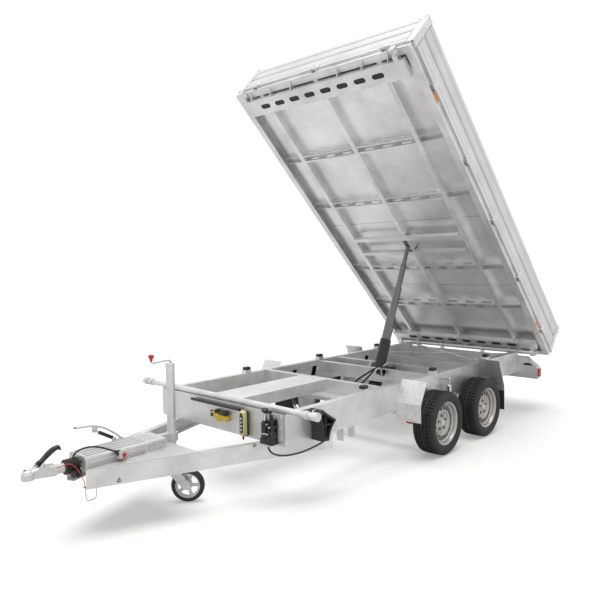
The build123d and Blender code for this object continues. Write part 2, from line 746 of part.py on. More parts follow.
# Hand pump, its bar, the control valve, the remote control and the wheel chock
front_face_x = ahead(chassis_front)
with BuildPart() as hand_pump:
    with Locations((front_face_x + 5, 575, level(540))):
        Box(10, 120, 170)
    with Locations((front_face_x + 10 + 32, 600, level(455))):
        Cylinder(32, 150, align=(Align.CENTER, Align.CENTER, Align.MIN))
    with Locations((front_face_x + 10 + 24, 545, level(480))):
        Cylinder(24, 150, align=(Align.CENTER, Align.CENTER, Align.MIN))
    with Locations((front_face_x + 10 + 30, 560, level(445))):
        Box(60, 100, 40)
finish(hand_pump, "hand_pump")
bar_radius = 11
with BuildPart() as pump_bar:
    with Locations(Plane.XZ):
        with Locations((front_face_x + bar_radius + 12, level(600), 0)):
            Cylinder(bar_radius, 540)
    for y in (-180, 180):
        with Locations((front_face_x + 6, y, level(600))):
            Box(12, 16, 16)
finish(pump_bar, "pump_bar")
with BuildPart() as control_units:
    with Locations((front_face_x + 20, 314, level(510))):
        Box(40, 70, 180)
    with Locations((front_face_x + 20, 60, level(525))):
        Box(40, 150, 60)
finish(control_units, "control_units")
with BuildPart() as wheel_chock:
    with BuildSketch(across(rail_outer_y)):
        with BuildLine():
            Polyline([side_sketch_point(ahead(x), level(z))
                      for x, z in ((1830, 600), (1790, 640), (1660, 530), (1740, 410), (1815, 415))],
                     close=True)
        make_face()
    extrude(amount=110)
finish(wheel_chock, "wheel_chock")


# Bed, drawn lowered
def bed_x(along):
    return pivot_x + along


def bed_z(above):
    return pivot_z + above


bed_mid = (bed_front + bed_rear) / 2
frame_half = bed_half_width - frame_inset
frame_front = bed_front - frame_inset
frame_rear = bed_rear + frame_inset
frame_length = frame_front - frame_rear
frame_mid = (frame_front + frame_rear) / 2
frame_z = bed_z(frame_above_pivot)
floor_z = frame_z + frame_height
with BuildPart() as bed_frame:
    with Locations((bed_x(frame_mid), 0, frame_z + frame_height / 2)):
        Box(frame_length, 2 * frame_half, frame_height)
        Box(frame_length - 2 * frame_member, 2 * (frame_half - frame_member), frame_height,
            mode=Mode.SUBTRACT)
        Box(frame_length - 2 * frame_sheet, 2 * (frame_half - frame_sheet),
            frame_height - 2 * frame_sheet, mode=Mode.SUBTRACT)
finish_tipped(bed_frame, "bed_frame")

# Floor sheet, notched round the corner posts
with BuildPart() as bed_floor:
    with Locations((bed_x(frame_mid), 0, floor_z + floor_thickness / 2)):
        Box(frame_length, 2 * frame_half, floor_thickness)
    for along in (bed_front, bed_rear):
        for side in (1, -1):
            with Locations((bed_x(along), side * bed_half_width, floor_z + floor_thickness / 2)):
                Box(2 * (post_size + seat_gap), 2 * (post_size + seat_gap), floor_thickness,
                    mode=Mode.SUBTRACT)
finish_tipped(bed_floor, "bed_floor")

# Lift crossbeams: a pair of channels below the stringers, with the two cheeks of the cylinder's eye
lift_places = (1690, 1493)
lift_half = 600
lift_width = 40
lift_height = 38
lift_bottom = frame_above_pivot - lift_height
cheek_gap = 48
cheek_thickness = 12
cheek_bottom = 35
eye_gap_rear = lift_places[1] + lift_width / 2
eye_gap_front = lift_places[0] - lift_width / 2
with BuildPart() as lift_crossbeams:
    for place in lift_places:
        with Locations((bed_x(place), 0, bed_z(lift_bottom) + lift_height / 2)):
            Box(lift_width, 2 * lift_half, lift_height)
            Box(lift_width - 2 * frame_sheet, 2 * lift_half - 2 * frame_sheet,
                lift_height - 2 * frame_sheet, mode=Mode.SUBTRACT)
    for side in (1, -1):
        with Locations((bed_x((eye_gap_front + eye_gap_rear) / 2), side * (cheek_gap + cheek_thickness) / 2,
                        (bed_z(cheek_bottom) + floor_z) / 2)):
            Box(eye_gap_front - eye_gap_rear, cheek_thickness, floor_z - bed_z(cheek_bottom))
finish_tipped(lift_crossbeams, "lift_crossbeams")

# Stringers: three folded channels closed by the floor; the middle one is open round the eye
with BuildPart() as bed_stringers:
    stringer_rear = frame_rear + frame_sheet
    stringer_front = frame_front - frame_sheet
    for y in (-stringer_y, 0, stringer_y):
        with Locations((bed_x(frame_mid), y, frame_z + frame_height / 2)):
            Box(frame_length - 2 * frame_member, stringer_width, frame_height)
        with Locations((bed_x(frame_mid), y, frame_z + frame_height / 2 + frame_sheet)):
            Box(frame_length, stringer_width - 2 * frame_sheet, frame_height, mode=Mode.SUBTRACT)
    with Locations((bed_x((eye_gap_front + eye_gap_rear) / 2), 0, frame_z + frame_height / 2)):
        Box(eye_gap_front - eye_gap_rear + lift_width, stringer_width, frame_height, mode=Mode.SUBTRACT)
finish_tipped(bed_stringers, "bed_stringers")

# Crossmembers: channels between the stringers and out to the frame, with oval holes in the web
oval_pitch = 132
oval_length = 70
oval_width = 26
with BuildPart() as bed_crossmembers:
    outer_start = stringer_y + stringer_width / 2
    outer_end = frame_half - frame_member
    inner_start = stringer_width / 2
    inner_end = stringer_y - stringer_width / 2
    cross_z = floor_z - cross_height / 2
    for place in cross_places:
        for start, end in ((outer_start, outer_end), (inner_start, inner_end)):
            for side in (1, -1):
                with Locations((bed_x(place), side * (start + end) / 2, cross_z)):
                    Box(cross_width, end - start, cross_height)
                with Locations((bed_x(place) - frame_sheet, side * (start + end) / 2, cross_z)):
                    Box(cross_width, end - start, cross_height - 2 * frame_sheet, mode=Mode.SUBTRACT)
        with BuildSketch(Plane.YZ.offset(bed_x(place) + cross_width / 2)):
            for side in (1, -1):
                with Locations((side * (inner_start + inner_end) / 2, cross_z)):
                    with GridLocations(oval_pitch, 0, 4, 1):
                        SlotOverall(oval_length, oval_width)
        extrude(amount=-2 * frame_sheet, mode=Mode.SUBTRACT)
finish_tipped(bed_crossmembers, "bed_crossmembers")

# Receiver beams at both ends of the bed, with saddles over the front tipping tube and rings round
# the rear one
receiver_bottom = 8
receiver_half = 870
receiver_hole_pitch = 175
receiver_holes = 8
bracket_y = 815
bracket_width = 42


front_receiver = (3330, 3480)
rear_receiver = (50, 140)
receiver_hole_length = 110
receiver_hole_width = 44
saddle_clear = 5
ring_wall = 18
with BuildPart() as receiver_beams:
    height = frame_above_pivot - receiver_bottom
    for start, end in (front_receiver, rear_receiver):
        mid = bed_x((start + end) / 2)
        with Locations((mid, 0, bed_z(receiver_bottom) + height / 2)):
            Box(end - start, 2 * receiver_half, height)
        with Locations((mid, 0, bed_z(receiver_bottom) + height / 2 + frame_sheet)):
            Box(end - start - 2 * frame_sheet, 2 * receiver_half - 2 * frame_sheet, height,
                mode=Mode.SUBTRACT)
        with BuildSketch(Plane.XY.offset(bed_z(receiver_bottom))):
            with Locations((mid, 0)):
                with GridLocations(0, receiver_hole_pitch, 1, receiver_holes):
                    SlotOverall(receiver_hole_length, receiver_hole_width, rotation=90)
        extrude(amount=2 * frame_sheet, mode=Mode.SUBTRACT)
    for side in (1, -1):
        with BuildSketch(across(side * bracket_y)):
            with Locations(side_sketch_point((bed_x(front_receiver[1]) + bed_x(bed_front + 24)) / 2,
                                             (bed_z(receiver_bottom) + frame_z) / 2)):
                Rectangle(bed_front + 24 - front_receiver[1], height)
            with Locations(side_sketch_point(front_tube_x, front_tube_z)):
                Circle(front_tube_radius + saddle_clear, mode=Mode.SUBTRACT)
            with Locations(side_sketch_point(front_tube_x, front_tube_z - 30)):
                Rectangle(2 * (front_tube_radius + saddle_clear), 60, mode=Mode.SUBTRACT)
        extrude(amount=bracket_width / 2, both=True)
        with BuildSketch(across(side * bracket_y)):
            with Locations(side_sketch_point(pivot_x, pivot_z)):
                Circle(pivot_tube_radius + ring_wall)
            with Locations(side_sketch_point(bed_x(rear_receiver[0] / 2),
                                             (bed_z(receiver_bottom) + frame_z) / 2)):
                Rectangle(rear_receiver[0], height)
            with Locations(side_sketch_point(pivot_x, pivot_z)):
                Circle(pivot_tube_radius + slide_gap, mode=Mode.SUBTRACT)
        extrude(amount=bracket_width / 2, both=True)
finish_tipped(receiver_beams, "receiver_beams")

# Corner posts
post_height = floor_thickness + wall_floor_gap + wall_height
with BuildPart() as corner_posts:
    for along in (bed_front - post_size / 2, bed_rear + post_size / 2):
        for side in (1, -1):
            with Locations((bed_x(along), side * (bed_half_width - post_size / 2),
                            floor_z + post_height / 2)):
                Box(post_size, post_size, post_height)
                Box(post_size - 8, post_size - 8, post_height, mode=Mode.SUBTRACT)
finish_tipped(corner_posts, "corner_posts")


# Walls: planks with two shallow grooves
groove_levels = (95, 195)
groove_width = 12
groove_depth = 3
wall_bottom_z = floor_z + floor_thickness + wall_floor_gap
end_gap = 6
hinge_out = 13
knuckle_radius = 10
hinge_z = floor_z - 14


def wall_panel(length):
    """A wall on its inner bottom edge: X along it, Y outwards, Z up, centred along its length."""
    with BuildPart() as panel:
        with BuildSketch(Plane.YZ.offset(-length / 2)):
            with Locations((wall_thickness / 2, wall_height / 2)):
                Rectangle(wall_thickness, wall_height)
            for groove in groove_levels:
                with Locations((wall_thickness, groove)):
                    Rectangle(2 * groove_depth, groove_width, mode=Mode.SUBTRACT)
        extrude(amount=length)
    return panel


dropside_length = bed_front - bed_rear - 2 * post_size - 2 * end_gap
front_wall_length = 2 * (bed_half_width - post_size - end_gap)
hinges_behind_front = (396, 1112)
hinge_ahead_of_middle = 52
hinges_ahead_of_rear = (1147, 366)
side_hinges = ([bed_front - inset for inset in hinges_behind_front] + [bed_mid + hinge_ahead_of_middle]
               + [bed_rear + inset for inset in hinges_ahead_of_rear])
front_hinges = (-700, 0, 700)
strap_width = 46
strap_thickness = 4


def dropside(side):
    panel = wall_panel(dropside_length).part
    inner_y = side * (bed_half_width - wall_thickness)
    with BuildPart() as wall:
        if side > 0:
            add(panel.moved(Location((bed_x(bed_mid), inner_y, wall_bottom_z))))
        else:
            add(panel.moved(Location((bed_x(bed_mid), inner_y, wall_bottom_z), (0, 0, 180))))
        for along in side_hinges:
            with Locations((bed_x(along), side * (bed_half_width + strap_thickness / 2),
                            (hinge_z + wall_bottom_z + 50) / 2)):
                Box(strap_width, strap_thickness, wall_bottom_z + 50 - hinge_z)
            with Locations(Plane.YZ.offset(bed_x(along))):
                with Locations((side * (bed_half_width + hinge_out), hinge_z)):
                    Cylinder(knuckle_radius, strap_width)
                    Cylinder(4 + slide_gap, strap_width, mode=Mode.SUBTRACT)
    return wall


for name, side in sides:
    finish_tipped(dropside(side), f"dropside_{name}")

front_hinge_x = bed_x(bed_front + hinge_out)
with BuildPart() as front_wall:
    panel = wall_panel(front_wall_length).part
    add(panel.moved(Location((bed_x(bed_front) - wall_thickness, 0, wall_bottom_z), (0, 0, -90))))
    for y in front_hinges:
        with Locations((bed_x(bed_front) + strap_thickness / 2, y, (hinge_z + wall_bottom_z + 50) / 2)):
            Box(strap_thickness, strap_width, wall_bottom_z + 50 - hinge_z)
        with Locations(Plane.XZ):
            with Locations((front_hinge_x, hinge_z, -y)):
                Cylinder(knuckle_radius, strap_width)
                Cylinder(4 + slide_gap, strap_width, mode=Mode.SUBTRACT)
finish_tipped(front_wall, "front_wall")

# Hinge pins and the lugs that hold them on the bed's frame
pin_radius = 4
lug_width = 8
lug_gap = 1
with BuildPart() as wall_hinges:
    lug_out = frame_inset + hinge_out + knuckle_radius
    pin_length = strap_width + 2 * (lug_width + lug_gap)
    for side in (1, -1):
        for along in side_hinges:
            with Locations(Plane.YZ.offset(bed_x(along))):
                with Locations((side * (bed_half_width + hinge_out), hinge_z)):
                    Cylinder(pin_radius, pin_length)
            for end in (1, -1):
                with Locations((bed_x(along) + end * (pin_length - lug_width) / 2,
                                side * (frame_half + lug_out / 2), hinge_z)):
                    Box(lug_width, lug_out, 2 * knuckle_radius)
    for y in front_hinges:
        with Locations(Plane.XZ):
            with Locations((front_hinge_x, hinge_z, -y)):
                Cylinder(pin_radius, pin_length)
        for end in (1, -1):
            with Locations((bed_x(frame_front + lug_out / 2), y + end * (pin_length - lug_width) / 2,
                            hinge_z)):
                Box(lug_out, lug_width, 2 * knuckle_radius)
finish_tipped(wall_hinges, "wall_hinges")

# Tailgate with an ear and a pin at each corner
tailgate_length = 2 * (bed_half_width - post_size - end_gap)
gate_pin_radius = 8
gate_pin_levels = (20, 280)
gate_lock_depth = 42
gate_lock_width = 40
gate_lock_height = 34
gate_ear_width = 30
gate_ear_height = 26
gate_pin_x = bed_x(bed_rear) - gate_lock_depth / 2
gate_lock_y = bed_half_width - post_size / 2
with BuildPart() as tailgate:
    panel = wall_panel(tailgate_length).part
    add(panel.moved(Location((bed_x(bed_rear) + wall_thickness, 0, wall_bottom_z), (0, 0, 90))))
    for side in (1, -1):
        ear_y = tailgate_length / 2 - gate_ear_width / 2
        pin_end = gate_lock_y + gate_lock_width / 2
        for height in gate_pin_levels:
            with Locations(((gate_pin_x - gate_ear_height / 2 + bed_x(bed_rear)) / 2, side * ear_y,
                            wall_bottom_z + height)):
                Box(bed_x(bed_rear) - gate_pin_x + gate_ear_height / 2, gate_ear_width, gate_ear_height)
            with Locations(Plane.XZ):
                with Locations((gate_pin_x, wall_bottom_z + height, -side * (ear_y + pin_end) / 2)):
                    Cylinder(gate_pin_radius, pin_end - ear_y)
finish_tipped(tailgate, "tailgate")

# Latches: one on each post for the wall's end, and the locks round the tailgate's pins
with BuildPart() as bed_latches:
    for along in (bed_front - post_size / 2, bed_rear + post_size / 2):
        for side in (1, -1):
            with Locations((bed_x(along), side * (bed_half_width - post_size / 2),
                            floor_z + post_height + 16)):
                Box(58, 30, 32)
    for side in (1, -1):
        for height in gate_pin_levels:
            with Locations((gate_pin_x, side * gate_lock_y, wall_bottom_z + height)):
                Box(gate_lock_depth, gate_lock_width, gate_lock_height)
            with Locations(Plane.XZ):
                with Locations((gate_pin_x, wall_bottom_z + height, -side * gate_lock_y)):
                    Cylinder(gate_pin_radius + seat_gap, 2 * gate_lock_width, mode=Mode.SUBTRACT)
finish_tipped(bed_latches, "bed_latches")

# Amber lamps on the frame's sides
marker_inset = 475
with BuildPart() as side_markers:
    for along in (bed_front - marker_inset, bed_rear + marker_inset):
        for side in (1, -1):
            with Locations((bed_x(along), side * (frame_half + 6), frame_z + 26)):
                Box(80, 12, 30)
finish_tipped(side_markers, "side_markers")


# Telescopic cylinder in its gimbal ring
tip = math.radians(tip_angle)
eye_raised = (pivot_x + eye_along * math.cos(tip) - eye_above * math.sin(tip),
              pivot_z + eye_along * math.sin(tip) + eye_above * math.cos(tip))
eye_lowered = (pivot_x + eye_along, pivot_z + eye_above)
reach_raised = math.dist(eye_raised, (gimbal_x, gimbal_z))
reach_lowered = math.dist(eye_lowered, (gimbal_x, gimbal_z))
total_stroke = reach_raised - reach_lowered
first_strokes = (235, 230, 300, 245)
strokes = first_strokes + (total_stroke - sum(first_strokes),)
barrel_outer = 61
stage_radii = (52, 44, 35, 27, 19)
barrel_top = 45
stage_step = 3
stage_overlap = 50
barrel_end = 12
ring_half_x = 82
ring_half_y = barrel_outer + 5
ring_wall_thickness = 20
ring_height = 40
eye_radius = 25
eye_half_width = cheek_gap / 2 - 2
cylinder_plane = Plane(origin=(gimbal_x, 0, gimbal_z), x_dir=(0, 1, 0),
                       z_dir=(eye_raised[0] - gimbal_x, 0, eye_raised[1] - gimbal_z))

with BuildPart() as cylinder_gimbal:
    with Locations((gimbal_x, 0, gimbal_z)):
        Box(2 * (ring_half_x + ring_wall_thickness), 2 * (ring_half_y + ring_wall_thickness), ring_height)
        Box(2 * ring_half_x, 2 * ring_half_y, ring_height, mode=Mode.SUBTRACT)
    with Locations(Plane.XZ):
        with Locations((gimbal_x, gimbal_z, 0)):
            Cylinder(gimbal_pin_radius + slide_gap, 4 * ring_half_y, mode=Mode.SUBTRACT)
    for end in (1, -1):
        pin_start = ring_half_x + ring_wall_thickness
        pin_end = gimbal_web_gap + chassis_sheet + 6
        with Locations((gimbal_x + end * (pin_start + pin_end) / 2, 0, gimbal_z)):
            Cylinder(gimbal_pin_radius, pin_end - pin_start, rotation=(0, 90, 0))
finish(cylinder_gimbal, "cylinder_gimbal")

barrel_bottom = barrel_top - max(strokes) - stage_overlap - 2 * barrel_end
with BuildPart() as cylinder_barrel:
    with Locations(cylinder_plane.offset(barrel_bottom)):
        Cylinder(barrel_outer, barrel_top - barrel_bottom, align=(Align.CENTER, Align.CENTER, Align.MIN))
    with Locations(Plane.XZ):
        with Locations((gimbal_x, gimbal_z, 0)):
            Cylinder(gimbal_pin_radius, 2 * (ring_half_y + ring_wall_thickness))
    with Locations(cylinder_plane.offset(barrel_bottom + barrel_end)):
        Cylinder(stage_radii[0] + slide_gap, barrel_top - barrel_bottom,
                 align=(Align.CENTER, Align.CENTER, Align.MIN), mode=Mode.SUBTRACT)
finish(cylinder_barrel, "cylinder_barrel")

stage_base = barrel_top
for k, (radius, stroke) in enumerate(zip(stage_radii, strokes)):
    stage_top = stage_base + stroke + stage_step
    last = k == len(strokes) - 1
    with BuildPart() as stage:
        if last:
            with Locations(cylinder_plane.offset(stage_base - stage_overlap)):
                Cylinder(radius, reach_raised - stage_base + stage_overlap,
                         align=(Align.CENTER, Align.CENTER, Align.MIN))
            with Locations(Plane.XZ):
                with Locations((eye_raised[0], eye_raised[1], 0)):
                    Cylinder(eye_radius, 2 * eye_half_width)
                    Cylinder(12, cheek_gap - 2 * seat_gap)
        else:
            with Locations(cylinder_plane.offset(stage_base - stage_overlap)):
                Cylinder(radius, stage_top - stage_base + stage_overlap,
                         align=(Align.CENTER, Align.CENTER, Align.MIN))
                Cylinder(stage_radii[k + 1] + slide_gap, stage_top - stage_base + stage_overlap,
                         align=(Align.CENTER, Align.CENTER, Align.MIN), mode=Mode.SUBTRACT)
    finish(stage, f"cylinder_stage_{k + 1}")
    stage_base = stage_top
print("strokes", [round(s, 2) for s in strokes], "reach", round(reach_raised, 2), round(reach_lowered, 2))


# Cords: each route is rounded by arcs as large as its runs allow
def cord_tube(route, radius, name):
    runs = [math.dist(a, b) for a, b in zip(route, route[1:])]
    arcs = []
    for k in range(1, len(route) - 1):
        before = Vector(*route[k]) - Vector(*route[k - 1])
        after = Vector(*route[k + 1]) - Vector(*route[k])
        half_turn = math.radians(before.get_angle(after)) / 2
        arcs.append(0.45 * min(runs[k - 1], runs[k]) / math.tan(half_turn))
    with BuildPart() as tube:
        with BuildLine() as path:
            FilletPolyline(*route, radius=arcs)
        start = Vector(*route[1]) - Vector(*route[0])
        with BuildSketch(Plane(origin=route[0], z_dir=start)):
            Circle(radius)
        sweep(path=path.wires()[0])
    length = path.wires()[0].length
    print(name, "length", round(length, 1), "smallest arc", round(min(arcs), 1), "runs", round(min(runs), 1),
          round(max(runs), 1), "volume share", round(tube.part.volume / (math.pi * radius ** 2 * length), 4))
    finish(tube, name)


cord_tube(cable_route, cable_radius, "trailer_cable")
cord_tube(breakaway_route, breakaway_radius, "breakaway_cable")
cord_tube(hose_route, hose_radius, "hydraulic_hose")

# Plug at the end of the trailer cable, in its holder on the device's side
plug_neck = 26
with BuildPart() as trailer_plug:
    with Locations(Plane(origin=plug_start, z_dir=plug_dir)):
        Cone(cable_radius + 3, plug_radius, plug_neck, align=(Align.CENTER, Align.CENTER, Align.MIN))
    with Locations(Plane(origin=plug_start + plug_dir * plug_neck, z_dir=plug_dir)):
        Cylinder(plug_radius, plug_length - plug_neck, align=(Align.CENTER, Align.CENTER, Align.MIN))
finish(trailer_plug, "trailer_plug")
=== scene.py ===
import itertools
import json
import math

import bmesh
import bpy
from mathutils import Matrix, Vector


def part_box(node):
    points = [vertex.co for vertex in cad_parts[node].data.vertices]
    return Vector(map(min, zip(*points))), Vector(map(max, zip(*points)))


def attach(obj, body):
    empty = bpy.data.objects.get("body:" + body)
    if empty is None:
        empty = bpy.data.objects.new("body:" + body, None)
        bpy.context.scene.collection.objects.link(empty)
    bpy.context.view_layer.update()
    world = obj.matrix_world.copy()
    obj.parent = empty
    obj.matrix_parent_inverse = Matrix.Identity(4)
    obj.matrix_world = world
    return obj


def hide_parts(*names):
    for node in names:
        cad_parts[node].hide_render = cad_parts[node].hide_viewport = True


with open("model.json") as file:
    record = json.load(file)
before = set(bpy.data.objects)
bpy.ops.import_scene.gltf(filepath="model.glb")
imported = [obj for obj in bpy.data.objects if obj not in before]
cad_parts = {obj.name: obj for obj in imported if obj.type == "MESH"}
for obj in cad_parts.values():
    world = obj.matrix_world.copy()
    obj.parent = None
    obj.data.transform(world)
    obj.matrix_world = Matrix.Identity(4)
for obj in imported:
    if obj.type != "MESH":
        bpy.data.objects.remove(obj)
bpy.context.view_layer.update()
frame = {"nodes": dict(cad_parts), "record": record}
nodes = frame["nodes"]
scene = bpy.context.scene

# The ground's height, and the tipped bed's rear pivot and angle
GROUND = -0.430
PIVOT = Vector((-4.920, 0.0, 0.194))
TIP = math.radians(44)
BED = Matrix.Translation(PIVOT) @ Matrix.Rotation(-TIP, 4, "Y")
# The bed's ends and half width, along and across it from the pivot
BED_FRONT, BED_REAR, BED_HALF = 3.554, -0.116, 0.942
# The front crossbeam's face, the road wheels' centres, and the jockey tube's axis
FRONT_FACE = -1.354
AXLES, WHEEL_Y, WHEEL_Z = (("front", -3.04), ("rear", -3.76)), 0.797, -0.1675
JOCKEY_X = -0.960
DOWN = (0.0, 0.0, -1.0)


# Camera, where the photographer stood
def make_camera():
    yaw, pitch, roll = (math.radians(a) for a in (-136.8266, -3.4715, -0.7864))
    ahead = Vector((math.cos(yaw) * math.cos(pitch), math.sin(yaw) * math.cos(pitch), math.sin(pitch)))
    level_right = Vector((math.sin(yaw), -math.cos(yaw), 0.0))
    level_up = level_right.cross(ahead)
    right = math.cos(roll) * level_right + math.sin(roll) * level_up
    up = math.cos(roll) * level_up - math.sin(roll) * level_right
    lens = bpy.data.cameras.new("camera")
    lens.sensor_width = 36.0
    lens.lens = 36.789
    lens.clip_end = 200.0
    holder = bpy.data.objects.new("camera", lens)
    scene.collection.objects.link(holder)
    turn = Matrix((right, up, -ahead)).transposed().to_4x4()
    holder.matrix_world = Matrix.Translation((1.395, 3.4039, 1.1653)) @ turn
    scene.camera = holder


make_camera()


# Materials
class Shader:
    """A node tree with short ways to add nodes, set their sockets and link them."""

    def __init__(self, tree):
        self.tree = tree

    def add(self, kind, sockets=None, **values):
        node = self.tree.nodes.new(kind)
        for name, value in values.items():
            setattr(node, name, value)
        for name, value in (sockets or {}).items():
            self.give(node.inputs[name], value)
        return node

    def give(self, socket, value):
        """Links an output to a socket, or writes a value in it."""
        if isinstance(value, bpy.types.NodeSocket):
            self.tree.links.new(value, socket)
        else:
            socket.default_value = value

    def group(self, tree, **sockets):
        return self.add("ShaderNodeGroup", {k.replace("_", " "): v for k, v in sockets.items()},
                        node_tree=tree)

    def place(self):
        return self.add("ShaderNodeTexCoord").outputs["Object"]


def new_material(name):
    material = bpy.data.materials.new(name)
    material.use_nodes = True
    return material, Shader(material.node_tree), material.node_tree.nodes["Principled BSDF"]


def new_group(name, inputs, outputs):
    """A node group: each input is a label and its first value, and each output a label and a kind."""
    tree = bpy.data.node_groups.new(name, "ShaderNodeTree")
    for label, value in inputs:
        kind = "Float" if isinstance(value, float) else ("Color" if len(value) == 4 else "Vector")
        socket = tree.interface.new_socket(label, in_out="INPUT", socket_type="NodeSocket" + kind)
        socket.default_value = value
    for label, kind in outputs:
        tree.interface.new_socket(label, in_out="OUTPUT", socket_type="NodeSocket" + kind)
    shader = Shader(tree)
    return tree, shader, shader.add("NodeGroupInput").outputs, shader.add("NodeGroupOutput").inputs


def grey(value):
    return (value, value, value, 1.0)


def zinc_coat_group():
    """Hot-dip zinc: crystals a few millimetres across under soft clouds, with dull runs."""
    tree, sh, inp, out = new_group(
        "zinc_coat",
        [("Crystal Scale", 90.0), ("Cloud Scale", 5.0), ("Dark", grey(0.45)), ("Light", grey(0.7)),
         ("Crystals", 0.5), ("Smooth", 0.32), ("Rough", 0.5)],
        [("Color", "Color"), ("Roughness", "Float"), ("Height", "Float")])
    place = sh.place()
    warp = sh.add("ShaderNodeTexNoise", {"Vector": place, "Scale": 60.0, "Detail": 2.0})
    bent = sh.add("ShaderNodeMix", {"Factor": 0.012, "A": place, "B": warp.outputs["Color"]},
                  data_type="VECTOR")
    cells = sh.add("ShaderNodeTexVoronoi", {"Vector": bent.outputs["Result"],
                                            "Scale": inp["Crystal Scale"]})
    tone = sh.add("ShaderNodeSeparateColor", {"Color": cells.outputs["Color"]})
    clouds = sh.add("ShaderNodeTexNoise", {"Vector": place, "Scale": inp["Cloud Scale"], "Detail": 5.0,
                                           "Roughness": 0.6})
    spread = sh.add("ShaderNodeMapRange", {"Value": clouds.outputs["Fac"], "From Min": 0.34,
                                           "From Max": 0.66})
    blend = sh.add("ShaderNodeMix", {"Factor": inp["Crystals"], "A": spread.outputs["Result"],
                                     "B": tone.outputs["Red"]}, data_type="FLOAT")
    color = sh.add("ShaderNodeMix", {"Factor": blend.outputs["Result"], "A": inp["Dark"],
                                     "B": inp["Light"]}, data_type="RGBA")
    shine = sh.add("ShaderNodeMix", {"Factor": tone.outputs["Green"], "A": inp["Smooth"],
                                     "B": inp["Rough"]}, data_type="FLOAT")
    sh.give(out["Color"], color.outputs["Result"])
    sh.give(out["Roughness"], shine.outputs["Result"])
    sh.give(out["Height"], tone.outputs["Blue"])
    return tree


def grain_group():
    """Fine grain and faint clouds in the gloss of a moulded or painted surface."""
    tree, sh, inp, out = new_group(
        "fine_grain", [("Scale", 400.0), ("Gloss Low", 0.4), ("Gloss High", 0.5)],
        [("Roughness", "Float"), ("Height", "Float")])
    place = sh.place()
    grain = sh.add("ShaderNodeTexNoise", {"Vector": place, "Scale": inp["Scale"], "Detail": 3.0})
    clouds = sh.add("ShaderNodeTexNoise", {"Vector": place, "Scale": 14.0, "Detail": 2.0})
    gloss = sh.add("ShaderNodeMix", {"Factor": clouds.outputs["Fac"], "A": inp["Gloss Low"],
                                     "B": inp["Gloss High"]}, data_type="FLOAT")
    sh.give(out["Roughness"], gloss.outputs["Result"])
    sh.give(out["Height"], grain.outputs["Fac"])
    return tree


def near_group():
    """One inside a ball of a centre and radius, and zero outside it."""
    tree, sh, inp, out = new_group("near_point", [("Centre", (0.0, 0.0, 0.0)), ("Radius", 0.1)],
                                   [("Mask", "Float")])
    away = sh.add("ShaderNodeVectorMath", operation="DISTANCE")
    sh.give(away.inputs[0], sh.place())
    sh.give(away.inputs[1], inp["Centre"])
    inside = sh.add("ShaderNodeMath", operation="LESS_THAN")
    sh.give(inside.inputs[0], away.outputs["Value"])
    sh.give(inside.inputs[1], inp["Radius"])
    sh.give(out["Mask"], inside.outputs["Value"])
    return tree


def beyond_group():
    """One beyond a plane, which is a direction and its distance from the origin."""
    tree, sh, inp, out = new_group("beyond_plane", [("Direction", (0.0, 0.0, 1.0)), ("Distance", 0.0)],
                                   [("Mask", "Float")])
    along = sh.add("ShaderNodeVectorMath", operation="DOT_PRODUCT")
    sh.give(along.inputs[0], sh.place())
    sh.give(along.inputs[1], inp["Direction"])
    beyond = sh.add("ShaderNodeMath", operation="GREATER_THAN")
    sh.give(beyond.inputs[0], along.outputs["Value"])
    sh.give(beyond.inputs[1], inp["Distance"])
    sh.give(out["Mask"], beyond.outputs["Value"])
    return tree


ZINC_COAT = zinc_coat_group()
FINE_GRAIN = grain_group()
NEAR_POINT = near_group()
BEYOND_PLANE = beyond_group()


def zinc(name, dark, light, crystals=0.35, crystal_scale=90.0, cloud_scale=5.0, metallic=0.75,
         smooth=0.32, rough=0.5, relief=0.05):
    material, sh, surface = new_material(name)
    coat = sh.group(ZINC_COAT, Crystal_Scale=crystal_scale, Cloud_Scale=cloud_scale, Dark=grey(dark),
                    Light=grey(light), Crystals=crystals, Smooth=smooth, Rough=rough)
    sh.give(surface.inputs["Base Color"], coat.outputs["Color"])
    sh.give(surface.inputs["Roughness"], coat.outputs["Roughness"])
    surface.inputs["Metallic"].default_value = metallic
    bump = sh.add("ShaderNodeBump", {"Strength": relief, "Distance": 0.0006,
                                     "Height": coat.outputs["Height"]})
    sh.give(surface.inputs["Normal"], bump.outputs["Normal"])
    return material


def near(centre, radius):
    """A place on a piece: inside a ball."""
    return "near", centre, radius


def beyond(point, direction):
    """A place on a piece: beyond a plane through a point."""
    way = Vector(direction).normalized()
    return "beyond", tuple(way), way.dot(Vector(point))


